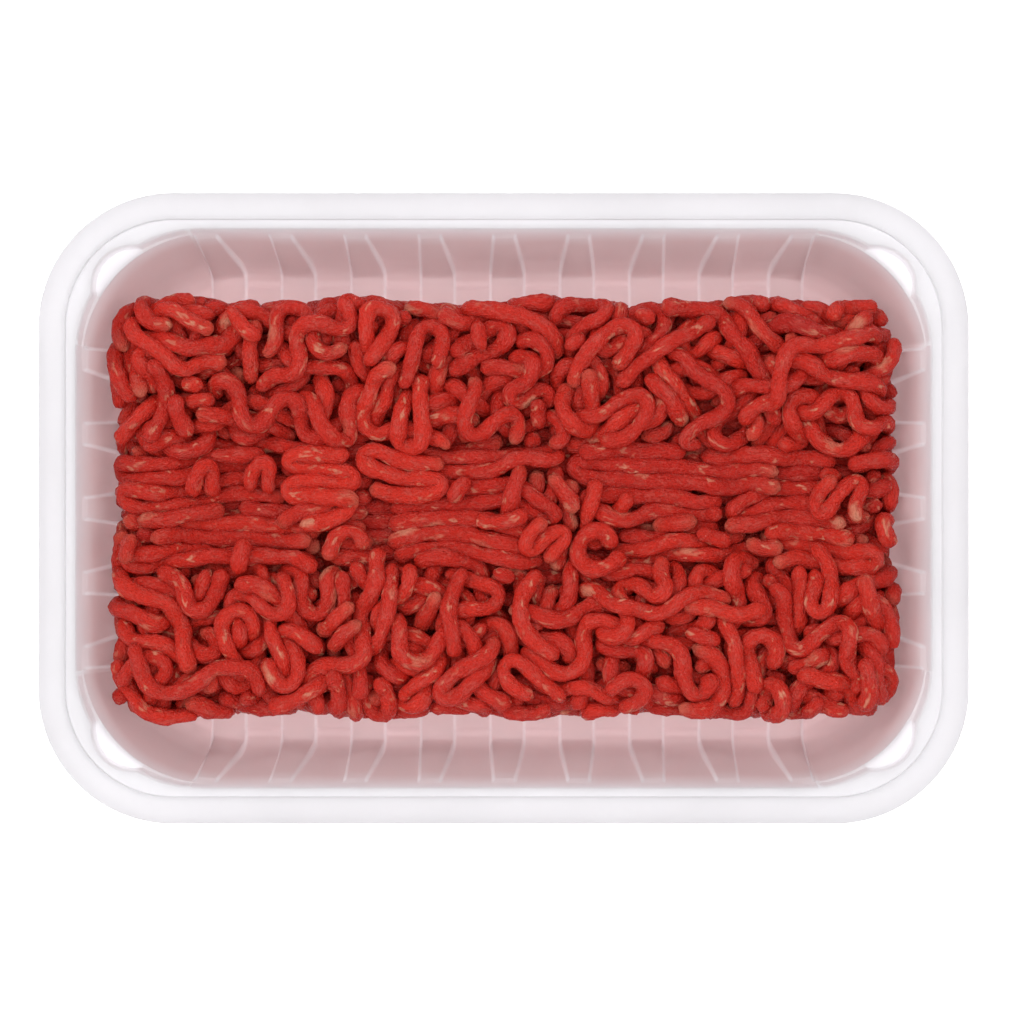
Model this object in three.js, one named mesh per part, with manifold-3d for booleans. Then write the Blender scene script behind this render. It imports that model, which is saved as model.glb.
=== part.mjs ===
// Meat tray pack: a deep ribbed tray of thermoformed plastic, open on top, that holds a block of minced
// beef laid in strands. Millimetres, +Z up, +X along the tray, origin at the middle of its footprint.

import * as THREE from 'three';
import Module from 'manifold-3d';

const wasm = await Module();
wasm.setup();

// ---------------------------------------------------------------- tray, driving dimensions
const LENGTH = 227;            // over the sealing rim, along X
const WIDTH = 154;             // over the sealing rim, along Y
const HEIGHT = 46;             // foot to sealing face
const SHEET = 0.8;             // thickness of the formed sheet
const RIM_RADIUS = 33;         // plan radius of the rim's corners
const WELL_EXTRA = 36.2;       // how much longer than wide the well is, halved
const THROAT_RADIUS = 30;      // plan radius of the well's corners at the ledge
const SHOULDER_RADIUS = 32;    // and just under the ledge
const FLOOR_RADIUS = 27;       // and at the floor
const RIB_PITCH = 18.4;
const RIBS_LONG = 9;           // ribs on each long wall
const RIBS_SHORT = 5;          // ribs on each short wall
const RIB_TOP = { z: 38.5, crest: 2.05, base: 3.25 };      // half widths of a rib near its top
const RIB_FOOT = { z: 2.0, crest: 3.85, base: 5.05 };      // and at the floor
const RIB_INSET = 0.57;        // how much narrower a rib is, each side, on the back of the sheet
const POCKET = { from: 0.28, to: 0.72, bulge: 2.2, undercut: 0.8, roundness: 0.7 };
const POCKET_COLUMNS = 5;      // columns across a corner's stacking pocket

// The rim from its turned-down edge over the sealing face to the ledge: inset from the outline, height.
const RIM_PROFILE = [
  [0.0, HEIGHT - 2.6], [0.5, HEIGHT - 0.7], [2.1, HEIGHT], [6.5, HEIGHT],
  [7.0, HEIGHT - 0.95],
];
const LEDGE = { half: 68.3, z: HEIGHT - 1.1 };

// The well from the throat down and over the floor. half and z lie between the ribs, ribHalf and ribZ on
// a rib's crest, and half is measured on the long walls.
const WELL_PROFILE = [
  { name: 'throat', half: 67.9, z: 44.4 },
  { name: 'pocket', half: 67.6, z: 41.0 },
  { name: 'shoulder', half: 67.57, z: 40.7 },
  { name: 'ribStart', half: 67.4, z: 38.5, ribHalf: 66.7, ribZ: 38.5 },
  { name: 'wallFoot', half: 64.2, z: 6.0, ribHalf: 62.3, ribZ: 6.0 },
  { name: 'gutterOut', half: 60.4, z: 0.8, ribHalf: 60.4, ribZ: 2.2 },
  { name: 'gutterIn', half: 58.9, z: 0.8, ribHalf: 58.9, ribZ: 2.1 },
  { name: 'plateau', half: 58.2, z: 1.6, ribHalf: 58.2, ribZ: 2.1 },
  { name: 'floor', half: 49.0, z: 1.6 },
];

// ---------------------------------------------------------------- mince, driving dimensions
const STRAND_RADIUS = 2.15;
const BLOCK = { halfX: 96.4, halfY: 51.2, top: 25.6, bottom: 2.4, corner: 9, edge: 6.5 };
const FOOT_CORNER = 14.5;      // plan radius of the block's corners at the foot
const BLOCK_FLARE = 0.9;       // how much the long sides spread at the foot
const LANES = { count: 8, pitch: 4.7, middle: 1, relief: 1.6 };   // combed strands along the middle
const CORE_SECTIONS = 15;      // sections of the core along the block
const CORE_SHRINK = 0.6;       // core under the skin that strands lie on
const END_CROWDING = 0.7;      // 0 spaces the core's sections evenly, 1 crowds them at its rounded ends
const WALL_GAP = 0.5;          // least gap between mince and tray
const CURL_BANDS = [           // rows of curled strands on top, beside the combed lanes
  { y: 27, pitch: 23, count: 8 }, { y: 42, pitch: 23.5, count: 8 },
  { y: -25, pitch: 23, count: 8 }, { y: -40, pitch: 23.5, count: 8 },
];
const SIDE_ROWS = [            // strands along the block's edges and sides; depth is down the skin
  { short: false, depth: 5, pitch: 45, count: 4, length: 40 },
  { short: false, depth: 15, pitch: 60, count: 3, length: 48 },
  { short: true, depth: 6, pitch: 38, count: 2, length: 32 },
];
const STRAND = { sides: 5, step: 5.6 };
const SEED = 20417;

// ---------------------------------------------------------------- small helpers
const lerp = (a, b, t) => a + (b - a) * t;

/** A repeatable stream of numbers in 0..1. */
function randomStream(seed) {
  let state = seed >>> 0;
  return () => {
    state = (state + 0x6d2b79f5) >>> 0;
    let mixed = state;
    mixed = Math.imul(mixed ^ (mixed >>> 15), mixed | 1);
    mixed ^= mixed + Math.imul(mixed ^ (mixed >>> 7), mixed | 61);
    return ((mixed ^ (mixed >>> 14)) >>> 0) / 4294967296;
  };
}

/** Joins two closed rings of vertices, each with its column numbers, into a band of triangles. */
function stitch(triangles, ringA, ringB) {
  const spanA = ringA.length;
  const spanB = ringB.length;
  const turn = (ring, i, total) => ring[i % ring.length].column + (i >= ring.length ? total : 0);
  const total = 1e4;
  let a = 0;
  let b = 0;
  while (a < spanA || b < spanB) {
    const nextA = a < spanA ? turn(ringA, a + 1, total) : Infinity;
    const nextB = b < spanB ? turn(ringB, b + 1, total) : Infinity;
    const va = ringA[a % spanA].vertex;
    const vb = ringB[b % spanB].vertex;
    if (nextA <= nextB) {
      a += 1;
      triangles.push(va, vb, ringA[a % spanA].vertex);
    } else {
      b += 1;
      triangles.push(va, vb, ringB[b % spanB].vertex);
    }
  }
}

/** Closes a ring with a fan to one vertex. */
function fan(triangles, ring, vertex, flip) {
  ring.forEach((point, i) => {
    const next = ring[(i + 1) % ring.length].vertex;
    if (flip) triangles.push(point.vertex, vertex, next);
    else triangles.push(point.vertex, next, vertex);
  });
}

/** Closes a flat convex ring from its first vertex. */
function cap(triangles, ring, flip) {
  for (let i = 2; i < ring.length; i += 1) {
    const [a, b, c] = [ring[0].vertex, ring[i - 1].vertex, ring[i].vertex];
    triangles.push(a, ...(flip ? [c, b] : [b, c]));
  }
}

function geometryOf(vertices, triangles) {
  const geometry = new THREE.BufferGeometry();
  geometry.setAttribute('position', new THREE.Float32BufferAttribute(vertices, 3));
  geometry.setIndex(triangles);
  return geometry;
}

// ---------------------------------------------------------------- tray
const SIDES = [
  { normal: [1, 0], along: [0, 1], short: true },
  { normal: [0, 1], along: [-1, 0], short: false },
  { normal: [-1, 0], along: [0, -1], short: true },
  { normal: [0, -1], along: [1, 0], short: false },
];

/** Every column of the loft, counterclockwise: four to a rib, then the corner that follows the side. */
function trayColumns() {
  const columns = [];
  SIDES.forEach((side, index) => {
    const count = side.short ? RIBS_SHORT : RIBS_LONG;
    for (let rib = 0; rib < count; rib += 1) {
      const centre = (rib - (count - 1) / 2) * RIB_PITCH;
      columns.push({ side: index, centre, sign: -1, crest: false, last: rib === 0 });
      columns.push({ side: index, centre, sign: -1, crest: true });
      columns.push({ side: index, centre, sign: 1, crest: true });
      columns.push({ side: index, centre, sign: 1, crest: false, last: rib === count - 1 });
    }
    const pocketAt = (i) => lerp(POCKET.from, POCKET.to, i / (POCKET_COLUMNS - 1));
    const fractions = [0, 0.15];
    for (let i = 0; i < POCKET_COLUMNS; i += 1) fractions.push(pocketAt(i));
    fractions.push(0.85, 1);
    fractions.forEach((fraction, i) => {
      columns.push({ side: index, corner: true, fraction, coarse: i % 2 === 0 });
    });
  });
  return columns;
}

/** Distance along a side of a rib's crest or base at a height. */
function ribAlong(column, z, inset) {
  const t = (RIB_TOP.z - z) / (RIB_TOP.z - RIB_FOOT.z);
  const key = column.crest ? 'crest' : 'base';
  const half = lerp(RIB_TOP[key], RIB_FOOT[key], THREE.MathUtils.clamp(t, 0, 1));
  return column.centre + column.sign * (half - inset);
}

/** Half length of the side itself and its distance from the middle, for a rounded rectangle. */
function sideSpan(side, halfX, halfY) {
  return side.short ? [halfY, halfX] : [halfX, halfY];
}

/** A point of a rounded rectangle that belongs to a side column. */
function sidePoint(ring, side, along) {
  const [span, reach] = sideSpan(side, ring.halfX, ring.halfY);
  const over = Math.max(0, Math.abs(along) - (span - ring.radius));
  const depth = reach - ring.radius + Math.sqrt(ring.radius ** 2 - over ** 2);
  return [0, 1].map((k) => side.normal[k] * depth + side.along[k] * along);
}

/** The angle that a side's outermost column takes out of the corner next to it. */
function cornerStart(ring, side, z, inset) {
  const [span] = sideSpan(side, ring.halfX, ring.halfY);
  const count = side.short ? RIBS_SHORT : RIBS_LONG;
  const outermost = { centre: (count - 1) / 2 * RIB_PITCH, sign: 1, crest: false };
  const over = Math.max(0, ribAlong(outermost, z, inset) - (span - ring.radius));
  return Math.asin(Math.min(1, over / ring.radius));
}

/** A point of a rounded rectangle that belongs to a corner column, moved out by push. */
function cornerPoint(ring, column, z, inset, push) {
  const side = SIDES[column.side];
  const next = SIDES[(column.side + 1) % SIDES.length];
  const [span, reach] = sideSpan(side, ring.halfX, ring.halfY);
  const start = cornerStart(ring, side, z, inset);
  const end = Math.PI / 2 - cornerStart(ring, next, z, inset);
  const angle = lerp(start, end, column.fraction);
  const radius = ring.radius + push;
  return [0, 1].map((k) => side.normal[k] * (reach - ring.radius + radius * Math.cos(angle))
    + side.along[k] * (span - ring.radius + radius * Math.sin(angle)));
}

/** How far a corner column stands out where the stacking pocket is. */
function pocketPush(column) {
  const across = (column.fraction - POCKET.from) / (POCKET.to - POCKET.from);
  if (across <= 0 || across >= 1) return 0;
  return POCKET.bulge * (1 - (2 * across - 1) ** 2) ** POCKET.roundness;
}

/** Moves a profile of [half, z] points to the back of the sheet, with mitred turns. */
function backOf(profile, thickness) {
  const normals = profile.slice(1).map((point, i) => {
    const step = new THREE.Vector2(point[0] - profile[i][0], point[1] - profile[i][1]).normalize();
    return new THREE.Vector2(-step.y, step.x);
  });
  return profile.map((point, i) => {
    const before = normals[Math.max(0, i - 1)];
    const after = normals[Math.min(normals.length - 1, i)];
    const scale = thickness / (1 + before.dot(after));
    return [point[0] + (before.x + after.x) * scale, point[1] + (before.y + after.y) * scale];
  });
}

/** Rows of the loft from rim to floor, for one face of the sheet. */
function trayRows(thickness) {
  const halfWidth = WIDTH / 2;
  const rows = RIM_PROFILE.map(([inset, z]) => (
    { half: halfWidth - inset, z, radius: RIM_RADIUS - inset, extra: (LENGTH - WIDTH) / 2, rim: true }));
  rows.push({ ...LEDGE, radius: THROAT_RADIUS, extra: WELL_EXTRA, rim: true, name: 'ledge' });
  for (const row of WELL_PROFILE) {
    const depth = (WELL_PROFILE[2].z - row.z) / WELL_PROFILE[2].z;
    const radius = row.name === 'throat' || row.name === 'pocket'
      ? THROAT_RADIUS : lerp(SHOULDER_RADIUS, FLOOR_RADIUS, depth);
    rows.push({ ...row, radius, extra: WELL_EXTRA });
  }
  if (thickness === 0) return rows;
  const plain = backOf(rows.map((row) => [row.half, row.z]), thickness);
  const crest = backOf(rows.map((row) => [row.ribHalf ?? row.half, row.ribZ ?? row.z]), thickness);
  return rows.map((row, i) => ({
    ...row,
    half: plain[i][0],
    z: plain[i][1],
    radius: row.radius + plain[i][0] - row.half,
    ...(row.ribHalf === undefined ? {} : { ribHalf: crest[i][0], ribZ: crest[i][1] }),
  }));
}

/** Whether a row uses a column: rim and floor rows need few, rows below the pockets fewer at corners. */
function rowUses(row, column) {
  const fewRows = row.rim || ['throat', 'pocket', 'floor'].includes(row.name);
  if (!column.corner) return fewRows ? Boolean(column.last) : true;
  const pocketRows = row.rim || ['throat', 'pocket', 'shoulder'].includes(row.name);
  return pocketRows || column.coarse;
}

/** Vertices of one row of the loft. */
function trayRing(vertices, row, columns, back) {
  const inset = back ? RIB_INSET : 0;
  const ring = [];
  columns.forEach((column, index) => {
    if (!rowUses(row, column)) return;
    const onCrest = column.crest && row.ribHalf !== undefined;
    const half = onCrest ? row.ribHalf : row.half;
    const outline = { halfX: half + row.extra, halfY: half, radius: row.radius };
    let z = onCrest ? row.ribZ : row.z;
    let point;
    if (column.corner) {
      let push = ['ledge', 'throat', 'pocket'].includes(row.name) ? pocketPush(column) : 0;
      if (push > 0 && row.name === 'pocket') push += POCKET.undercut;
      if (push > 0 && row.name === 'pocket' && back) z -= SHEET;
      point = cornerPoint(outline, column, z, inset, push);
    } else {
      point = sidePoint(outline, SIDES[column.side], ribAlong(column, z, inset));
    }
    ring.push({ column: index, vertex: vertices.length / 3 });
    vertices.push(point[0], point[1], z);
  });
  return ring;
}

function trayGeometry() {
  const columns = trayColumns();
  const vertices = [];
  const triangles = [];
  const faceRows = trayRows(0).filter((row) => row.name !== 'gutterIn');
  const face = faceRows.map((row) => trayRing(vertices, row, columns, false));
  const back = trayRows(SHEET).map((row) => trayRing(vertices, row, columns, true));
  for (let i = 1; i < face.length; i += 1) stitch(triangles, face[i], face[i - 1]);
  for (let i = 1; i < back.length; i += 1) stitch(triangles, back[i - 1], back[i]);
  stitch(triangles, face[0], back[0]);
  cap(triangles, face.at(-1), false);
  cap(triangles, back.at(-1), true);
  return geometryOf(vertices, triangles);
}

// ---------------------------------------------------------------- mince
/** The mince's lumpy top, as a height above the block's mean top. */
function lumps(x, y) {
  return 1.1 * Math.sin(x * 0.071 + 1.3) * Math.cos(y * 0.094 - 0.4)
    + 0.8 * Math.sin(x * 0.032 - y * 0.117 + 2.1) + 0.5 * Math.cos(x * 0.153 + y * 0.061);
}

/** Half width of the space between the long walls' ribs at a height. */
function clearHalfWidth(z) {
  const wall = WELL_PROFILE.filter((row) => row.ribHalf !== undefined);
  const at = wall.findIndex((row) => row.ribZ <= z);
  if (at <= 0) return wall[0].ribHalf;
  const t = (z - wall[at].ribZ) / (wall[at - 1].ribZ - wall[at].ribZ);
  return lerp(wall[at].ribHalf, wall[at - 1].ribHalf, t);
}

/** The block's skin, unrolled: past an edge the sheet point goes down the side. lift is off the skin. */
function skinPoint(x, y, lift) {
  const flatX = BLOCK.halfX - BLOCK.corner;
  const flatY = BLOCK.halfY - BLOCK.corner;
  const overX = Math.max(0, Math.abs(x) - flatX);
  const overY = Math.max(0, Math.abs(y) - flatY);
  const over = Math.hypot(overX, overY);
  const insideX = Math.min(Math.abs(x), flatX);
  const insideY = Math.min(Math.abs(y), flatY);
  const outX = over > 0 ? overX / over : 0;
  const outY = over > 0 ? overY / over : 0;
  const flat = BLOCK.corner - BLOCK.edge;
  const bend = Math.min(Math.max(0, over - flat) / BLOCK.edge, Math.PI / 2);
  const down = Math.max(0, over - flat - BLOCK.edge * Math.PI / 2);
  const flare = BLOCK_FLARE * outY * Math.min(1, down / 15);
  const reach = Math.min(over, flat) + (BLOCK.edge + lift) * Math.sin(bend) + flare;
  const top = BLOCK.top + lumps(x, y) * Math.cos(bend);
  const z = top - BLOCK.edge + (BLOCK.edge + lift) * Math.cos(bend) - down;
  return new THREE.Vector3(
    Math.sign(x) * (insideX + outX * reach), Math.sign(y) * (insideY + outY * reach), z);
}

/** Keeps a strand's axis inside the tray's walls and corners and above its floor. */
function keepClear(point) {
  point.z = Math.max(point.z, BLOCK.bottom + STRAND_RADIUS);
  const halfWidth = clearHalfWidth(point.z - STRAND_RADIUS) - STRAND_RADIUS - WALL_GAP;
  const halfLength = halfWidth + WELL_EXTRA;
  point.x = THREE.MathUtils.clamp(point.x, -halfLength, halfLength);
  const radius = FLOOR_RADIUS;
  const overX = Math.abs(point.x) - (halfLength - radius);
  const overY = Math.abs(point.y) - (halfWidth - radius);
  const over = Math.hypot(overX, overY);
  if (overX > 0 && overY > 0 && over > radius) {
    point.x = Math.sign(point.x) * (halfLength - radius + overX * radius / over);
    point.y = Math.sign(point.y) * (halfWidth - radius + overY * radius / over);
  }
  return point;
}

/** Stations across the top of the core: fine where combed strands lie in lanes, coarse beside them. */
function laneStations() {
  const stations = [];
  const laneRows = 2 * LANES.count;
  for (let i = 0; i <= laneRows; i += 1) {
    stations.push({ y: LANES.middle + (i / laneRows - 0.5) * LANES.count * LANES.pitch, ridge: i % 2 });
  }
  const edge = BLOCK.halfY - BLOCK.edge;
  for (const t of [0.4, 0.8]) {
    stations.unshift({ y: lerp(stations[0].y, -edge, t), ridge: 0.5 });
    stations.push({ y: lerp(stations.at(-1).y, edge, t), ridge: 0.5 });
  }
  return stations;
}

/** The solid core: sections across the block, lofted along it, with a ridge for each combed lane. */
function coreGeometry() {
  const stations = laneStations();
  const sideFalls = [0.12, 0.35, 0.65, 0.9];
  const vertices = [];
  const triangles = [];
  const rings = [];
  for (let i = 0; i <= CORE_SECTIONS; i += 1) {
    const even = 2 * i / CORE_SECTIONS - 1;
    const along = lerp(even, Math.sin(even * Math.PI / 2), END_CROWDING);
    const x = along * (BLOCK.halfX - CORE_SHRINK);
    const fromEnd = (1 - Math.abs(along)) * BLOCK.halfX;
    const cut = (radius) => 1 - Math.sqrt(1 - (1 - Math.min(1, fromEnd / radius)) ** 2);
    const narrow = BLOCK.corner * cut(BLOCK.corner);
    const sink = BLOCK.edge * cut(BLOCK.corner) * 0.9;
    const points = stations.map((station, k) => {
      const wave = 0.7 * Math.sin(x * 0.09 + k * 0.45);
      const height = BLOCK.top - CORE_SHRINK + lumps(x, station.y) - sink
        + LANES.relief * (station.ridge - 0.5);
      return [station.y * (1 - narrow / BLOCK.halfY) + wave, height];
    });
    const side = (sign, fall) => {
      const bulge = (BLOCK.edge - 1) * (1 - Math.sqrt(1 - (1 - Math.min(1, fall * 3)) ** 2));
      const corner = lerp(BLOCK.corner, FOOT_CORNER, fall);
      const half = BLOCK.halfY - CORE_SHRINK - corner * cut(corner) - bulge + BLOCK_FLARE * fall;
      return [sign * half, lerp(BLOCK.top - sink - 2, BLOCK.bottom, fall)];
    };
    sideFalls.forEach((fall) => points.push(side(1, fall)));
    points.push([side(1, 1)[0], BLOCK.bottom], [side(-1, 1)[0], BLOCK.bottom]);
    [...sideFalls].reverse().forEach((fall) => points.push(side(-1, fall)));
    rings.push(points.map(([y, z], k) => {
      vertices.push(x, y, z);
      return { column: k, vertex: vertices.length / 3 - 1 };
    }));
  }
  for (let i = 1; i < rings.length; i += 1) stitch(triangles, rings[i - 1], rings[i]);
  const middle = vertices.length / 3;
  const end = BLOCK.halfX - CORE_SHRINK;
  vertices.push(-end, 0, BLOCK.top / 2, end, 0, BLOCK.top / 2);
  fan(triangles, rings[0], middle, false);
  fan(triangles, rings.at(-1), middle + 1, true);
  return geometryOf(vertices, triangles);
}

/** A strand: a tube of few sides round a curve, with blunt, slightly domed ends. */
function strandGeometry(points, radius, sides, stepLength) {
  const curve = new THREE.CatmullRomCurve3(points);
  const steps = Math.max(3, Math.round(curve.getLength() / stepLength));
  const frames = curve.computeFrenetFrames(steps, false);
  const vertices = [];
  const triangles = [];
  const rings = [];
  for (let i = 0; i <= steps; i += 1) {
    const centre = curve.getPointAt(i / steps);
    const size = radius * (i === 0 || i === steps ? 0.8 : 1);
    const ring = [];
    for (let k = 0; k < sides; k += 1) {
      const angle = 2 * Math.PI * k / sides;
      const spoke = frames.normals[i].clone().multiplyScalar(size * Math.cos(angle))
        .addScaledVector(frames.binormals[i], size * Math.sin(angle));
      ring.push({ column: k, vertex: vertices.length / 3 });
      vertices.push(centre.x + spoke.x, centre.y + spoke.y, centre.z + spoke.z);
    }
    rings.push(ring);
  }
  for (let i = 1; i < rings.length; i += 1) stitch(triangles, rings[i], rings[i - 1]);
  const tips = [0, steps].map((i) => {
    const out = frames.tangents[i].clone().multiplyScalar(i === 0 ? -0.35 * radius : 0.35 * radius);
    return curve.getPointAt(i / steps).add(out);
  });
  const first = vertices.length / 3;
  tips.forEach((tip) => vertices.push(tip.x, tip.y, tip.z));
  fan(triangles, rings[0], first, true);
  fan(triangles, rings.at(-1), first + 1, false);
  return geometryOf(vertices, triangles);
}

/** A wandering line on the unrolled skin, centred on a place, as it drops from a mincer plate. */
function wander(random, place, shape) {
  const stride = 1.5;
  const phase = random() * 2 * Math.PI;
  const count = Math.round(shape.length / stride);
  const line = [];
  let x = 0;
  let y = 0;
  for (let i = 0; i <= count; i += 1) {
    line.push([x, y]);
    const swing = shape.swing * Math.sin(2 * Math.PI * i * stride / shape.wave + phase);
    const heading = place.heading + swing + shape.drift * (i / count - 0.5);
    x += stride * Math.cos(heading);
    y += stride * Math.sin(heading);
  }
  const middle = [0, 1].map((k) => line.reduce((sum, point) => sum + point[k], 0) / line.length);
  return line.map(([px, py]) => [px - middle[0] + place.x, py - middle[1] + place.y]);
}

/** Turns a line on the skin into the strand's axis: its ends dip towards the core. */
function drape(line, lift, dip) {
  const last = line.length - 1;
  return line.map(([x, y], i) => {
    const end = Math.min(i, last - i) / last;
    const height = lift - dip * Math.max(0, 1 - end * 6);
    return keepClear(skinPoint(x, y, height));
  });
}

/** Every strand on the core, as its axis: curls beside the combed lanes, and strands down the sides. */
function strandAxes(random) {
  const spread = (from, to) => lerp(from, to, random());
  const axes = [];
  const lay = (place, shape, lift, dip) => axes.push(drape(wander(random, place, shape), lift, dip));
  for (const band of CURL_BANDS) {
    for (let i = 0; i < band.count; i += 1) {
      const x = (i - (band.count - 1) / 2) * band.pitch + spread(-3, 3);
      const place = { x, y: band.y + spread(-3, 3), heading: spread(0, Math.PI) };
      const shape = {
        length: spread(40, 52), swing: spread(1.1, 1.7), wave: spread(32, 42), drift: spread(-1.5, 1.5),
      };
      lay(place, shape, spread(0.9, 2.0), 1.8);
    }
  }
  for (const row of SIDE_ROWS) {
    const edge = (row.short ? BLOCK.halfX : BLOCK.halfY) + row.depth;
    for (const sign of [-1, 1]) {
      for (let i = 0; i < row.count; i += 1) {
        const along = (i - (row.count - 1) / 2) * row.pitch + spread(-4, 4);
        const place = row.short
          ? { x: sign * edge, y: along, heading: Math.PI / 2 + spread(-0.2, 0.2) }
          : { x: along, y: sign * edge, heading: spread(-0.2, 0.2) };
        const shape = { length: row.length, swing: spread(0.4, 0.9), wave: spread(24, 34), drift: 0 };
        lay(place, shape, spread(0.4, 1.1), 1.2);
      }
    }
  }
  return axes;
}

/** A manifold solid of a closed geometry. */
function solidOf(geometry) {
  const vertProperties = new Float32Array(geometry.getAttribute('position').array);
  const triVerts = new Uint32Array(geometry.getIndex().array);
  return new wasm.Manifold(new wasm.Mesh({ numProp: 3, vertProperties, triVerts }));
}

/** Keeps the largest closed shell: sealed hollows are filled and loose scraps dropped. */
function largestShell(vertices, triangles) {
  const parent = Array.from({ length: vertices.length / 3 }, (_, i) => i);
  const find = (i) => {
    let root = i;
    while (parent[root] !== root) root = parent[root];
    parent[i] = root;
    return root;
  };
  for (let i = 0; i < triangles.length; i += 3) {
    parent[find(triangles[i])] = find(triangles[i + 1]);
    parent[find(triangles[i + 1])] = find(triangles[i + 2]);
  }
  const shells = new Map();
  for (let i = 0; i < triangles.length; i += 3) {
    const root = find(triangles[i]);
    if (!shells.has(root)) shells.set(root, []);
    shells.get(root).push(triangles[i], triangles[i + 1], triangles[i + 2]);
  }
  return [...shells.values()].sort((a, b) => b.length - a.length)[0];
}

function minceGeometry() {
  const random = randomStream(SEED);
  const strands = strandAxes(random).map((axis) => (
    solidOf(strandGeometry(axis, STRAND_RADIUS, STRAND.sides, STRAND.step))));
  let joined = solidOf(coreGeometry());
  for (const strand of strands) joined = joined.add(strand);
  const mesh = joined.getMesh();
  const vertices = Array.from(mesh.vertProperties);
  return geometryOf(vertices, largestShell(vertices, Array.from(mesh.triVerts)));
}

// ---------------------------------------------------------------- the pack
/** A named mesh with its own material. */
function piece(name, geometry, color, roughness) {
  geometry.computeVertexNormals();
  const material = new THREE.MeshStandardMaterial({ color, roughness, metalness: 0, flatShading: true });
  const mesh = new THREE.Mesh(geometry, material);
  mesh.name = name;
  return mesh;
}

const pack = new THREE.Group();
pack.add(piece('tray', trayGeometry(), '#f1eff0', 0.4));
pack.add(piece('mince', minceGeometry(), '#b23b30', 0.45));

export default pack;
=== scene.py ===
"""Looks of a meat tray pack: a formed plastic tray that holds a block of minced beef, laid in strands.

Sizes are in millimetres unless a name ends in _m. The strands are laid by seeded rules and then settled
against each other, the block's core and the tray by a small position-based simulation.
"""

import logging
import math
from dataclasses import dataclass
from dataclasses import field
from enum import Enum

import bmesh
import bpy
import numpy as np
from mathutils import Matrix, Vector


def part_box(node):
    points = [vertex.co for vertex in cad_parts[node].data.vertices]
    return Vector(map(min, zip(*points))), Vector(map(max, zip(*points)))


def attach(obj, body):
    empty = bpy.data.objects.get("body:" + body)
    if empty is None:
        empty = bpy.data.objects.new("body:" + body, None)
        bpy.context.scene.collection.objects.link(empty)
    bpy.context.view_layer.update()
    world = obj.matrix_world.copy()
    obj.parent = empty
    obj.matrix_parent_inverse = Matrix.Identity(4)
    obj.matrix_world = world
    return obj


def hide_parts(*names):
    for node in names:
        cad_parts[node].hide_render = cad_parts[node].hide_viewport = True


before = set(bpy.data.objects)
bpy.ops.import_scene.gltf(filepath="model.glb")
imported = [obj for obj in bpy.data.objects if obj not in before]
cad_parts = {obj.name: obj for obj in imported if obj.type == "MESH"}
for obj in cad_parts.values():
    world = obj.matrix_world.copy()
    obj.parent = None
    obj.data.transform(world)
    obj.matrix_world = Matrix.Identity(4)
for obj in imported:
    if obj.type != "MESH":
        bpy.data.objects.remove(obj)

log = logging.getLogger("meat_tray_pack")

MM = 0.001
ROOT = "root"


# ---------------------------------------------------------------------------------------------- helpers
def linear(hex_colour: str, alpha: float = 1.0) -> tuple[float, float, float, float]:
    """Turns an sRGB hex colour into linear RGBA.

    Args:
        hex_colour: Six hex digits, such as "c8322a".
        alpha: Opacity to append.

    Returns:
        The linear red, green, blue and alpha.
    """
    channels = []
    for start in (0, 2, 4):
        value = int(hex_colour[start:start + 2], 16) / 255
        channels.append(value / 12.92 if value <= 0.04045 else ((value + 0.055) / 1.055) ** 2.4)
    return (channels[0], channels[1], channels[2], alpha)


def add_node(tree: bpy.types.NodeTree, kind: str, settings: dict | None = None,
             inputs: dict | None = None) -> bpy.types.Node:
    """Adds a node, with its settings, input values and links.

    Args:
        tree: The material's node tree.
        kind: The node's type name.
        settings: Attributes to set on the node.
        inputs: Input name or number to a value, or to an output socket that feeds it.

    Returns:
        The new node.
    """
    node = tree.nodes.new(kind)
    for name, value in (settings or {}).items():
        setattr(node, name, value)
    for name, value in (inputs or {}).items():
        if isinstance(value, bpy.types.NodeSocket):
            tree.links.new(value, node.inputs[name])
        else:
            node.inputs[name].default_value = value
    return node


def new_material(name: str) -> tuple[bpy.types.Material, bpy.types.NodeTree, bpy.types.Node]:
    """Makes a node material and returns it with its tree and its output node."""
    material = bpy.data.materials.new(name)
    material.use_nodes = True
    tree = material.node_tree
    tree.nodes.clear()
    output = add_node(tree, "ShaderNodeOutputMaterial")
    return material, tree, output


def colour_ramp(tree: bpy.types.NodeTree, factor: bpy.types.NodeSocket,
                stops: list[tuple[float, tuple[float, float, float, float]]]) -> bpy.types.Node:
    """Adds a colour ramp with the given stops, fed by factor."""
    node = add_node(tree, "ShaderNodeValToRGB", inputs={"Fac": factor})
    elements = node.color_ramp.elements
    while len(elements) < len(stops):
        elements.new(0.5)
    for element, (place, colour) in zip(elements, stops):
        element.position = place
        element.color = colour
    return node


def link_object(name: str, mesh: bpy.types.Mesh, material: bpy.types.Material) -> bpy.types.Object:
    """Puts a finished mesh into the scene as a smooth-shaded object at the origin."""
    mesh.materials.append(material)
    mesh.polygons.foreach_set("use_smooth", [True] * len(mesh.polygons))
    piece = bpy.data.objects.new(name, mesh)
    bpy.context.scene.collection.objects.link(piece)
    return piece


def seat_piece(piece: bpy.types.Object, node: str) -> None:
    """Declares what a piece rides on and hides the part that it stands for."""
    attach(piece, ROOT)
    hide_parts(node)


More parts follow.
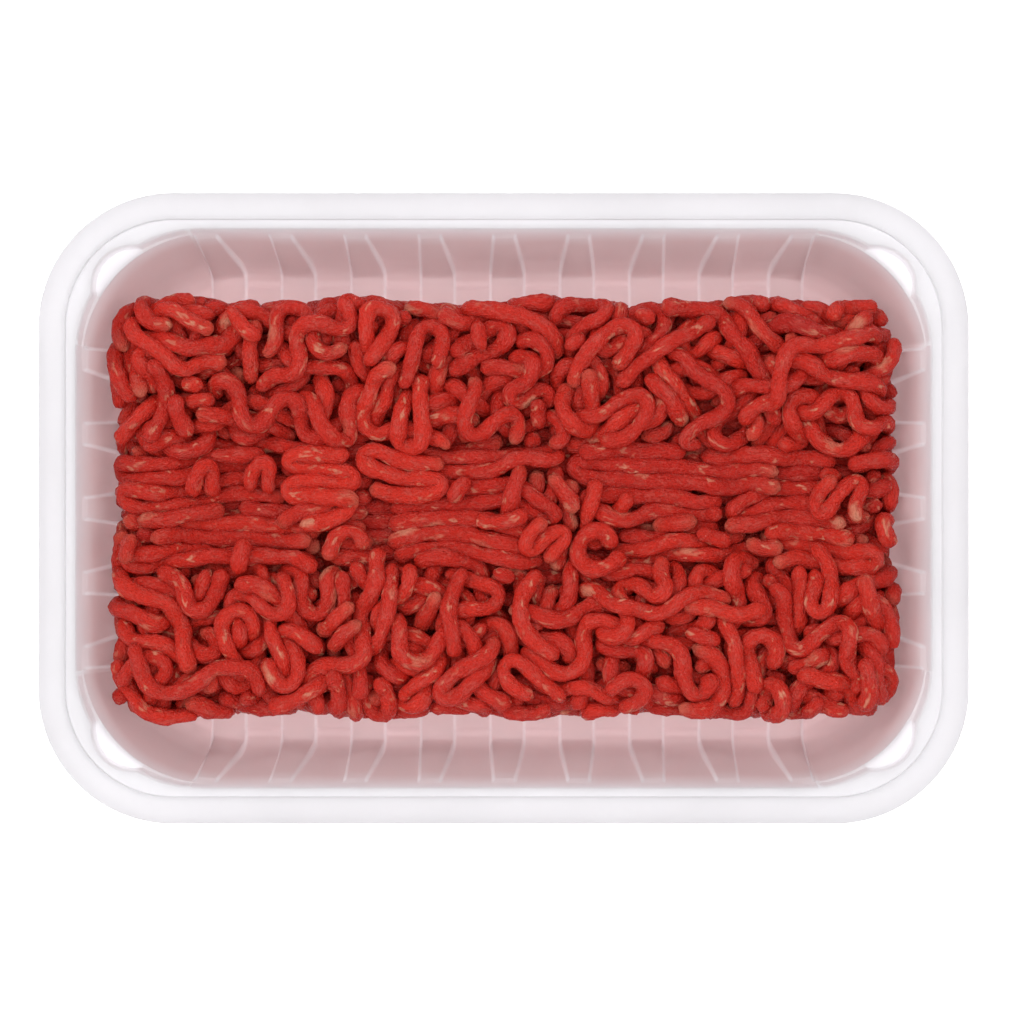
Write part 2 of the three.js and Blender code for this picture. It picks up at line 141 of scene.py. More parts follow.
# ---------------------------------------------------------------------------------------------- finishes
@dataclass(frozen=True)
class FormedPolypropylene:
    """White thermoformed polypropylene sheet: satin, slightly waxy, and light passes through it softly.

    Forming stretches the sheet thin at the edges of the ribs, where it glows as fine bright lines. Down in
    the well the colour takes a painted pink tint, a little darker, for red light reflected from the meat.
    """

    edge_name = "rib_edge"

    colour: str = "f6f5f7"
    roughness: float = 0.28
    cloud_size: float = 28.0
    grain_size: float = 0.35
    glow: float = 0.45
    edge_glow: float = 0.16
    # Painted reflected light: the pink that the meat throws on the walls, a little darker than the sheet.
    painted_meat_reflection: str = "f6e8e7"

    def build(self) -> bpy.types.Material:
        """Builds the material. Object coordinates are in metres, so scales are 1000 over a size."""
        material, tree, output = new_material("formed_polypropylene")
        place = add_node(tree, "ShaderNodeTexCoord").outputs["Object"]
        cloud = add_node(tree, "ShaderNodeTexNoise",
                         inputs={"Vector": place, "Scale": 1000 / self.cloud_size, "Detail": 1.0})
        tint = colour_ramp(tree, cloud.outputs["Fac"], [
            (0.3, linear("f3f2f4")), (0.7, linear(self.colour))])
        height = add_node(tree, "ShaderNodeSeparateXYZ", inputs={"Vector": place})
        # Painted reflected light: the pink tint grows from 44.5 mm down to 31 mm in the well; rib edges and
        # pocket floors are kept out of it.
        depth = add_node(tree, "ShaderNodeMapRange", inputs={
            "Value": height.outputs["Z"], "From Min": 44.5 * MM, "From Max": 31.0 * MM})
        edge = add_node(tree, "ShaderNodeAttribute", {"attribute_name": self.edge_name}).outputs["Fac"]
        away = add_node(tree, "ShaderNodeMath", {"operation": "SUBTRACT"}, {
            0: depth.outputs["Result"], 1: edge})
        away.use_clamp = True
        reflection_tinted = add_node(tree, "ShaderNodeMix", {"data_type": "RGBA", "blend_type": "MULTIPLY"}, {
            "Factor": away.outputs["Value"], 6: tint.outputs["Color"], 7: linear(self.painted_meat_reflection)})
        thin = add_node(tree, "ShaderNodeMath", {"operation": "MULTIPLY_ADD"}, {
            0: edge, 1: self.edge_glow, 2: self.glow})
        grain = add_node(tree, "ShaderNodeTexNoise",
                         inputs={"Vector": place, "Scale": 1000 / self.grain_size, "Detail": 0.0})
        relief = add_node(tree, "ShaderNodeBump", inputs={
            "Height": grain.outputs["Fac"], "Strength": 0.08, "Distance": 0.05 * MM})
        shader = add_node(tree, "ShaderNodeBsdfPrincipled", inputs={
            "Base Color": reflection_tinted.outputs[2], "Roughness": self.roughness,
            "Normal": relief.outputs["Normal"], "IOR": 1.49})
        through = add_node(tree, "ShaderNodeBsdfTranslucent", inputs={"Color": reflection_tinted.outputs[2]})
        sheet = add_node(tree, "ShaderNodeMixShader", inputs={
            "Fac": thin.outputs["Value"], 1: shader.outputs["BSDF"], 2: through.outputs["BSDF"]})
        tree.links.new(sheet.outputs["Shader"], output.inputs["Surface"])
        return material


@dataclass(frozen=True)
class FreshMince:
    """Raw minced beef: wet red muscle with a grainy skin, thin pale films that also serve as painted sheen,
    and small flecks of fat.
    """

    name: str = "fresh_minced_beef"
    # Colours for low and high bloom; the bloom carries painted light and shade by height as well as random
    # variation.
    dull_and_shaded_flesh: str = "cb2b22"
    bright_and_lit_flesh: str = "ea3627"
    dark: str = "bd1712"
    # Painted sheen: the film colour stands partly for pale membrane and partly for wet highlights.
    film_and_sheen: str = "e2675a"
    fat: str = "f09c7e"
    speck_cell: float = 1.9
    speck_share: float = 0.2
    streak_cell: float = 4.0
    streak_share: float = 0.06
    grain: float = 1.9

    def build(self) -> bpy.types.Material:
        """Builds the material on the strands' own coordinates, so that flecks run along each strand."""
        material, tree, output = new_material(self.name)
        place = add_node(tree, "ShaderNodeAttribute", {"attribute_name": "strand_place"}).outputs["Vector"]
        end = add_node(tree, "ShaderNodeAttribute", {"attribute_name": "strand_end"}).outputs["Fac"]
        tone = add_node(tree, "ShaderNodeAttribute", {"attribute_name": "strand_tone"}).outputs["Fac"]
        bloom_and_painted_light = add_node(tree, "ShaderNodeAttribute", {"attribute_name": "strand_bloom_and_painted_light"}).outputs["Fac"]
        flesh = self._flesh(tree, place, tone, bloom_and_painted_light)
        pale = add_node(tree, "ShaderNodeMath", {"operation": "MAXIMUM"},
                        {0: self._flecks(tree, place), 1: end})
        coloured = add_node(tree, "ShaderNodeMix", {"data_type": "RGBA"}, {
            "Factor": pale.outputs["Value"], 6: flesh, 7: linear(self.fat)})
        fibre = add_node(tree, "ShaderNodeTexNoise", inputs={
            "Vector": place, "Scale": self.grain, "Detail": 2.0, "Roughness": 0.75})
        relief = add_node(tree, "ShaderNodeBump", inputs={
            "Height": fibre.outputs["Fac"], "Strength": 1.0, "Distance": 1.1 * MM})
        wetness = add_node(tree, "ShaderNodeMapRange", inputs={
            "Value": fibre.outputs["Fac"], "From Min": 0.35, "From Max": 0.65,
            "To Min": 0.11, "To Max": 0.33})
        shader = add_node(tree, "ShaderNodeBsdfPrincipled", inputs={
            "Base Color": coloured.outputs[2], "Roughness": wetness.outputs["Result"],
            "Normal": relief.outputs["Normal"], "IOR": 1.35})
        tree.links.new(shader.outputs["BSDF"], output.inputs["Surface"])
        return material

    def _flesh(self, tree: bpy.types.NodeTree, place: bpy.types.NodeSocket, tone: bpy.types.NodeSocket,
               bloom_and_painted_light: bpy.types.NodeSocket) -> bpy.types.NodeSocket:
        """Muscle colour: brighter on high strands and duller on deep ones as painted light and shade,
        mottled, with a thin pale film that is partly a painted sheen.
        """
        # Painted light and shade: the bloom, raised with height, mixes the shaded colour towards the lit one.
        fresh = add_node(tree, "ShaderNodeMix", {"data_type": "RGBA"}, {
            "Factor": bloom_and_painted_light, 6: linear(self.dull_and_shaded_flesh), 7: linear(self.bright_and_lit_flesh)})
        mottle = add_node(tree, "ShaderNodeTexNoise", inputs={
            "Vector": place, "Scale": 0.6, "Detail": 4.0, "Roughness": 0.8})
        depth = add_node(tree, "ShaderNodeMath", {"operation": "SUBTRACT"},
                         {0: mottle.outputs["Fac"], 1: tone})
        shade = add_node(tree, "ShaderNodeMapRange", inputs={
            "Value": depth.outputs["Value"], "From Min": 0.40, "From Max": 0.95, "To Max": 0.85})
        shaded = add_node(tree, "ShaderNodeMix", {"data_type": "RGBA"}, {
            "Factor": shade.outputs["Result"], 6: fresh.outputs[2], 7: linear(self.dark)})
        # Painted sheen: noise patches of pale pink film, partly membrane, partly standing in for glints on
        # the wet surface.
        veil = add_node(tree, "ShaderNodeTexNoise", inputs={
            "Vector": place, "Scale": 0.6, "Detail": 3.0, "Roughness": 0.78, "Distortion": 0.6})
        thin = add_node(tree, "ShaderNodeMapRange", {"interpolation_type": "SMOOTHSTEP"}, {
            "Value": veil.outputs["Fac"], "From Min": 0.46, "From Max": 0.70, "To Max": 0.46})
        film_and_sheen_mixed = add_node(tree, "ShaderNodeMix", {"data_type": "RGBA"}, {
            "Factor": thin.outputs["Result"], 6: shaded.outputs[2], 7: linear(self.film_and_sheen)})
        return film_and_sheen_mixed.outputs[2]

    def _flecks(self, tree: bpy.types.NodeTree, place: bpy.types.NodeSocket) -> bpy.types.NodeSocket:
        """Share of fat at a point: many small specks and a few longer streaks, soft at their edges."""
        sway = add_node(tree, "ShaderNodeTexNoise", inputs={
            "Vector": place, "Scale": 0.6, "Detail": 1.0, "Roughness": 0.65})
        shift = add_node(tree, "ShaderNodeVectorMath", {"operation": "MULTIPLY_ADD"}, {
            0: sway.outputs["Color"], 1: (3.6, 3.6, 3.6), 2: place})
        marks = []
        for cell, share, reach in ((self.speck_cell, self.speck_share, 0.50),
                                   (self.streak_cell, self.streak_share, 0.58)):
            cells = add_node(tree, "ShaderNodeTexVoronoi", {"feature": "F1"}, {
                "Vector": shift.outputs["Vector"], "Scale": 1 / cell})
            chosen = add_node(tree, "ShaderNodeSeparateColor", inputs={"Color": cells.outputs["Color"]})
            fatty = add_node(tree, "ShaderNodeMapRange", inputs={
                "Value": chosen.outputs["Red"], "From Min": 1 - share, "To Min": 0.25})
            picked = add_node(tree, "ShaderNodeMath", {"operation": "GREATER_THAN"}, {
                0: chosen.outputs["Red"], 1: 1 - share})
            near = add_node(tree, "ShaderNodeMapRange", {"interpolation_type": "SMOOTHSTEP"}, {
                "Value": cells.outputs["Distance"], "From Min": reach, "From Max": 0.12})
            strength = add_node(tree, "ShaderNodeMath", {"operation": "MULTIPLY"}, {
                0: fatty.outputs["Result"], 1: picked.outputs["Value"]})
            marks.append(add_node(tree, "ShaderNodeMath", {"operation": "MULTIPLY"}, {
                0: near.outputs["Result"], 1: strength.outputs["Value"]}))
        both = add_node(tree, "ShaderNodeMath", {"operation": "MAXIMUM"}, {
            0: marks[0].outputs["Value"], 1: marks[1].outputs["Value"]})
        return both.outputs["Value"]


@dataclass(frozen=True)
class StudioPaper:
    """Plain matt white table under the pack, faintly lit from behind, so that it stays a clean white."""

    colour: str = "f8f8f8"
    backlight: float = 1.25

    def build(self) -> bpy.types.Material:
        """Builds the floor's material."""
        material, tree, output = new_material("studio_paper")
        shader = add_node(tree, "ShaderNodeBsdfPrincipled", inputs={
            "Base Color": linear(self.colour), "Roughness": 0.9, "Specular IOR Level": 0.2,
            "Emission Color": linear("ffffff"), "Emission Strength": self.backlight})
        tree.links.new(shader.outputs["BSDF"], output.inputs["Surface"])
        return material


# ---------------------------------------------------------------------------------------------- tray
@dataclass(frozen=True)
class WallRow:
    """One line round the tray: half width and height between the ribs and on a rib's crest."""

    half: float
    z: float
    crest_half: float
    crest_z: float
    radius: float
    extra: float
    pocket: float = 0.0
    arch: float = 1.0


@dataclass
class FormedTray:
    """The tray: turned-down lip, flat sealing face, ledge, stacking pockets, ribbed walls and foot."""

    size: tuple[float, float, float]
    sheet: float = 0.7
    rim_radius: float = 33.0
    well_extra: float = 36.2
    throat_radius: float = 30.2
    shoulder_radius: float = 32.0
    floor_radius: float = 27.0
    rib_pitch: float = 18.4
    ribs: tuple[int, int] = (5, 9)
    rib_top: tuple[float, float, float] = (38.5, 2.05, 3.25)
    rib_foot: tuple[float, float, float] = (2.0, 3.85, 5.05)
    pocket_range: tuple[float, float] = (0.31, 0.69)
    pocket_bulge: float = 2.9
    pocket_undercut: float = 0.3
    corner_steps: int = 36
    flank_steps: int = 4
    sides: tuple = field(default=(
        ((1, 0), (0, 1), True), ((0, 1), (-1, 0), False), ((-1, 0), (0, -1), True), ((0, -1), (1, 0), False)))

    def profile(self) -> list[WallRow]:
        """The section from the lip's edge over the rim, down the wall and over the floor, rounded."""
        length, width, height = self.size
        rim_extra = (length - width) / 2
        half = width / 2
        shoulder_z = height - 5.3

        def rim(inset: float, z: float) -> tuple:
            return ((half - inset, z), (half - inset, z), self.rim_radius - inset, rim_extra, 0.0, 0.0)

        def well(plain: tuple[float, float], crest: tuple[float, float] | None = None,
                 radius: float | None = None, pocket: float = 0.0) -> tuple:
            depth = (shoulder_z - plain[1]) / shoulder_z
            corner = radius or self.shoulder_radius + (self.floor_radius - self.shoulder_radius) * depth
            return (plain, crest or plain, corner, self.well_extra, pocket, 0.0 if crest is None else 1.0)

        key_rows = [
            (0.0, rim(0.0, height - 2.6)),
            (0.4, rim(0.1, height - 0.05)),
            (0.35, rim(2.1, height)),
            (0.2, rim(6.6, height)),
            (0.12, rim(6.75, height - 0.7)),
            (0.15, well((68.3, height - 0.8), radius=self.throat_radius, pocket=1.0)),
            (0.15, well((67.95, height - 1.5), radius=self.throat_radius, pocket=1.0)),
            (0.12, well((67.7, height - 4.8), radius=self.throat_radius, pocket=2.0)),
            (0.15, well((67.65, height - 5.2))),
            (0.6, well((67.45, 38.4), (66.8, 38.0))),
            (2.5, well((64.7, 8.8), (62.7, 8.8))),
            (2.2, well((62.9, 2.6), (61.5, 2.4))),
            (0.6, well((60.3, 0.8), (60.2, 2.2))),
            (0.5, well((58.9, 0.8), (58.9, 2.1))),
            (0.5, well((58.1, 1.6), (58.1, 2.1))),
            (0.5, well((48.0, 1.6), (48.0, 1.9))),
            (0.0, well((46.0, 1.6), (46.0, 1.6))),
        ]
        return self._rounded(key_rows)

    @staticmethod
    def _rounded(key_rows: list, steps: int = 4) -> list[WallRow]:
        """Rounds each turn of the section by a short quadratic curve and splits the long stretches.

        Args:
            key_rows: Pairs of a turn's rounding and the row there.
            steps: Rows along each rounded turn.

        Returns:
            The rows, from the lip's edge to the middle of the floor.
        """
        def flat(row: tuple) -> np.ndarray:
            return np.array([*row[0], *row[1], *row[2:]], float)

        keys = [flat(row) for _, row in key_rows]
        made = [keys[0]]
        for i in range(1, len(keys) - 1):
            rounding = key_rows[i][0]
            before = keys[i - 1] - keys[i]
            after = keys[i + 1] - keys[i]
            span_before = max(1e-6, math.hypot(before[0], before[1]))
            span_after = max(1e-6, math.hypot(after[0], after[1]))
            start = keys[i] + before * min(0.45, rounding / span_before)
            end = keys[i] + after * min(0.45, rounding / span_after)
            for step in range(steps + 1):
                t = step / steps
                made.append(start * (1 - t) ** 2 + keys[i] * 2 * t * (1 - t) + end * t ** 2)
        made.append(keys[-1])
        rows = [made[0]]
        for row in made[1:]:
            gap = math.hypot(row[0] - rows[-1][0], row[1] - rows[-1][1])
            if gap < 0.02:
                continue
            pieces = max(1, math.ceil(gap / 3.0))
            last = rows[-1]
            rows.extend(last + (row - last) * (k / pieces) for k in range(1, pieces + 1))
        return [WallRow(*row) for row in rows]

    def columns(self) -> list[tuple]:
        """Every column round the tray: side number, rib centre, place across the rib, or corner share."""
        made = []
        flank = np.linspace(0, 1, self.flank_steps + 1)
        for index, (_, _, short) in enumerate(self.sides):
            count = self.ribs[0] if short else self.ribs[1]
            for rib in range(count):
                centre = (rib - (count - 1) / 2) * self.rib_pitch
                made.append(("wall", index, centre - self.rib_pitch / 2 if rib else None, 0.0, centre))
                made.extend(("rib", index, centre, -1.0, share) for share in flank)
                made.append(("rib", index, centre, 0.0, 1.0))
                made.extend(("rib", index, centre, 1.0, share) for share in flank[::-1])
            made.extend(("corner", index, share, 0.0, 0.0)
                        for share in np.linspace(0, 1, self.corner_steps + 1))
        return [column for column in made if column[2] is not None]

    def _rib_half(self, z: float, share: float) -> float:
        """Half width of a rib at a height, from its base at share 0 to its crest at share 1."""
        top_z, top_crest, top_base = self.rib_top
        foot_z, foot_crest, foot_base = self.rib_foot
        fall = min(1.0, max(0.0, (top_z - z) / (top_z - foot_z)))
        base = top_base + (foot_base - top_base) * fall
        crest = top_crest + (foot_crest - top_crest) * fall
        return base + (crest - base) * share

    def _corner_start(self, row: WallRow, half: float, short: bool) -> float:
        """The angle that a side's outermost rib takes out of the next corner."""
        span = half if short else half + row.extra
        count = self.ribs[0] if short else self.ribs[1]
        edge = (count - 1) / 2 * self.rib_pitch + self._rib_half(row.z, 0.0)
        return math.asin(min(1.0, max(0.0, edge - (span - row.radius)) / row.radius))

    def point(self, row: WallRow, column: tuple) -> tuple[float, float, float]:
        """Where a row and a column of the tray cross."""
        kind, index, place, sign, share = column
        normal, along, short = self.sides[index]
        weight = 0.0
        if kind == "rib" and row.arch > 0:
            weight = (1 - math.cos(math.pi * share)) / 2 * row.arch
        half = row.half + (row.crest_half - row.half) * weight
        z = row.z + (row.crest_z - row.z) * weight
        span = half if short else half + row.extra
        reach = half + row.extra if short else half
        if kind == "corner":
            start = self._corner_start(row, row.half, short)
            end = math.pi / 2 - self._corner_start(row, row.half, not short)
            angle = start + (end - start) * place
            radius = row.radius + self._pocket_push(place, row.pocket)
            depth = reach - row.radius + radius * math.cos(angle)
            run = span - row.radius + radius * math.sin(angle)
        else:
            run = place + sign * self._rib_half(row.z, share) if kind == "rib" else place
            over = max(0.0, abs(run) - (span - row.radius))
            depth = reach - row.radius + math.sqrt(max(0.0, row.radius ** 2 - over ** 2))
        return (normal[0] * depth + along[0] * run, normal[1] * depth + along[1] * run, z)

    def _pocket_push(self, place: float, pocket: float) -> float:
        """How far a corner's stacking pocket stands out at a share of the corner."""
        low, high = self.pocket_range
        across = (place - low) / (high - low)
        if pocket <= 0 or not 0 < across < 1:
            return 0.0
        bulge = self.pocket_bulge * (1 - (2 * across - 1) ** 2)
        return bulge * min(1.0, pocket) + self.pocket_undercut * max(0.0, pocket - 1.0) * min(1.0, bulge)

    def build(self, material: bpy.types.Material) -> bpy.types.Object:
        """Draws the section round the tray, ring by ring, and gives the sheet its thickness."""
        columns = self.columns()
        rows = self.profile()
        shape = bmesh.new()
        shape.verts.layers.float.new(FormedPolypropylene.edge_name)
        made = bmesh.ops.create_circle(shape, segments=len(columns), radius=1.0, cap_ends=False)
        ring = sorted(made["verts"], key=lambda vertex: vertex.index)
        edges = [shape.edges.get((ring[i - 1], ring[i])) for i in range(len(ring))]
        self._place(shape, ring, rows[0], columns)
        for row in rows[1:]:
            grown = bmesh.ops.extrude_edge_only(shape, edges=edges)["geom"]
            fresh = {id(item) for item in grown if isinstance(item, bmesh.types.BMVert)}
            ring = [self._partner(vertex, fresh) for vertex in ring]
            edges = [shape.edges.get((ring[i - 1], ring[i])) for i in range(len(ring))]
            self._place(shape, ring, row, columns)
        shape.faces.new(ring)
        bmesh.ops.recalc_face_normals(shape, faces=shape.faces)
        if sum((face.normal.z for face in shape.faces if abs(face.normal.z) > 0.9), 0.0) < 0:
            bmesh.ops.reverse_faces(shape, faces=shape.faces)
        mesh = bpy.data.meshes.new("tray_sheet")
        shape.to_mesh(mesh)
        shape.free()
        mesh.transform([[MM if i == j else 0 for j in range(3)] + [0] for i in range(3)] + [[0, 0, 0, 1]])
        piece = link_object("tray_sheet", mesh, material)
        thickness = piece.modifiers.new("thickness", "SOLIDIFY")
        thickness.thickness = self.sheet * MM
        thickness.offset = -1.0
        piece.modifiers.new("flat_faces_stay_flat", "WEIGHTED_NORMAL")
        return piece

    @staticmethod
    def _partner(vertex: bmesh.types.BMVert, fresh: set[int]) -> bmesh.types.BMVert:
        """The new vertex that an extrusion joined to an old one."""
        for edge in vertex.link_edges:
            other = edge.other_vert(vertex)
            if id(other) in fresh:
                return other
        raise ValueError("the extrusion left a vertex without a partner")

    def _place(self, shape: bmesh.types.BMesh, ring: list, row: WallRow, columns: list[tuple]) -> None:
        """Moves a ring of vertices to its row and marks those on the flanks of ribs and in the pockets."""
        edge = shape.verts.layers.float[FormedPolypropylene.edge_name]
        for vertex, column in zip(ring, columns):
            vertex.co = self.point(row, column)
            kind, _, place, _, share = column
            vertex[edge] = 0.0
            if kind == "rib":
                vertex[edge] = 0.7 * math.sin(math.pi * share) ** 2 * row.arch
            elif kind == "corner" and self.pocket_range[0] < place < self.pocket_range[1]:
                vertex[edge] = 1.0 if -5.3 < row.z - self.size[2] < -1.2 else 0.0


# ---------------------------------------------------------------------------------------------- mince
class Habit(Enum):
    """How a group of strands lies."""

    COMBED = "combed"
    CURLED = "curled"
    FOLDED = "folded"
    COILED = "coiled"
    STUBS = "stubs"


@dataclass(frozen=True)
class Patch:
    """A group of strands on the unrolled skin of the block: its middle, its size and its direction."""

    kind: str
    habit: Habit
    x: float
    y: float
    width: float
    depth: float
    lift: float
    heading: float = 0.0
    share: float = 1.0


@dataclass(frozen=True)
class BlockForm:
    """The rounded, lumpy core that the strands lie on, and the room that the tray leaves round it."""

    half_x: float = 92.6
    half_y: float = 46.2
    top: float = 19.6
    bottom: float = 2.3
    corner: float = 5.6
    foot_corner: float = 14.5
    edge: float = 5.4
    flare: float = 0.5
    floor_z: float = 2.15
    wall_gap: float = 0.25
    reach: tuple[float, float] = (99.6, 53.4)

    def lumps(self, x: np.ndarray, y: np.ndarray) -> np.ndarray:
        """Slow rise and fall of the block's top."""
        return (1.1 * np.sin(x * 0.071 + 1.3) * np.cos(y * 0.094 - 0.4)
                + 0.8 * np.sin(x * 0.032 - y * 0.117 + 2.1) + 0.5 * np.cos(x * 0.153 + y * 0.061))

    def skin(self, sheet: np.ndarray, lift: np.ndarray) -> np.ndarray:
        """Places points of the unrolled skin: past an edge they go round it and down the side.

        Args:
            sheet: Points on the unrolled skin, n by 2.
            lift: Height of each off the core.

        Returns:
            Points in space, n by 3.
        """
        size = np.abs(sheet)
        flat = np.array([self.half_x - self.corner, self.half_y - self.corner])
        beyond = np.maximum(0.0, size - flat)
        over = np.hypot(beyond[:, 0], beyond[:, 1])
        out = beyond / np.maximum(over, 1e-9)[:, None]
        level = self.corner - self.edge
        bend = np.minimum(np.maximum(0.0, over - level) / self.edge, math.pi / 2)
        down = np.maximum(0.0, over - level - self.edge * math.pi / 2)
        reach = np.minimum(over, level) + (self.edge + lift) * np.sin(bend)
        reach += self.flare * out[:, 1] * np.minimum(1.0, down / 14)
        top = self.top + self.lumps(sheet[:, 0], sheet[:, 1]) * np.cos(bend)
        z = top - self.edge + (self.edge + lift) * np.cos(bend) - down
        placed = np.sign(sheet) * (np.minimum(size, flat) + out * reach[:, None])
        return np.column_stack([placed, z])

    def distance(self, points: np.ndarray) -> tuple[np.ndarray, np.ndarray]:
        """Distance of points from the core's surface and the outward direction there."""
        size = np.abs(points[:, :2])
        fall = np.clip((self.top - points[:, 2]) / self.top, 0.0, 1.0)
        size[:, 1] -= self.flare * fall
        corner = self.corner + (self.foot_corner - self.corner) * fall
        q = size - np.array([self.half_x, self.half_y]) + corner[:, None]
        positive = np.maximum(q, 0.0)
        length = np.hypot(positive[:, 0], positive[:, 1])
        outside = length + np.minimum(np.maximum(q[:, 0], q[:, 1]), 0.0) - corner
        along_x = (q[:, 0] > q[:, 1]).astype(float)
        plan = np.where((length > 1e-9)[:, None], positive / np.maximum(length, 1e-9)[:, None],
                        np.column_stack([along_x, 1.0 - along_x]))
        rise = points[:, 2] - self.top - self.lumps(points[:, 0], points[:, 1])
        side = outside + self.edge
        up = rise + self.edge
        both = np.hypot(np.maximum(side, 0.0), np.maximum(up, 0.0))
        far = both + np.minimum(np.maximum(side, up), 0.0) - self.edge
        weight_side = np.where(both > 1e-9, np.maximum(side, 0.0) / np.maximum(both, 1e-9), side > up)
        weight_up = np.where(both > 1e-9, np.maximum(up, 0.0) / np.maximum(both, 1e-9), side <= up)
        normal = np.column_stack([np.sign(points[:, :2]) * plan * weight_side[:, None], weight_up])
        return far, normal

    def stay_inside(self, points: np.ndarray, radius: float, tray: FormedTray) -> None:
        """Keeps strands off the tray's floor, ribs and corners, in place."""
        np.maximum(points[:, 2], self.floor_z + radius, out=points[:, 2])
        z = points[:, 2] - radius
        crest = np.interp(z, [2.2, 3.6, 8.8, 38.0], [60.2, 61.6, 62.7, 66.7])
        half_y = crest - radius - self.wall_gap
        half_x = half_y + tray.well_extra
        side_x = np.minimum(half_x, self.reach[0] - radius + 0.7 * np.sin(points[:, 1] * 0.21))
        side_y = np.minimum(half_y, self.reach[1] - radius + 0.9 * np.sin(points[:, 0] * 0.13))
        points[:, 0] = np.clip(points[:, 0], -side_x, side_x)
        points[:, 1] = np.clip(points[:, 1], -side_y, side_y)
        corner = tray.floor_radius
        over_x = np.abs(points[:, 0]) - (half_x - corner)
        over_y = np.abs(points[:, 1]) - (half_y - corner)
        apart = np.hypot(over_x, over_y)
        past = (over_x > 0) & (over_y > 0) & (apart > corner)
        shrink = corner / np.maximum(apart, 1e-9)
        for axis, (half, over) in enumerate(((half_x, over_x), (half_y, over_y))):
            held = np.sign(points[:, axis]) * (half - corner + over * shrink)
            points[:, axis] = np.where(past, held, points[:, axis])


@dataclass
class Strand:
    """One strand: its group, its line on the unrolled skin with the lift off it, and its bloom, kept low on
    the bed as painted shade.
    """

    kind: str
    line: np.ndarray
    bloom_and_painted_light: float


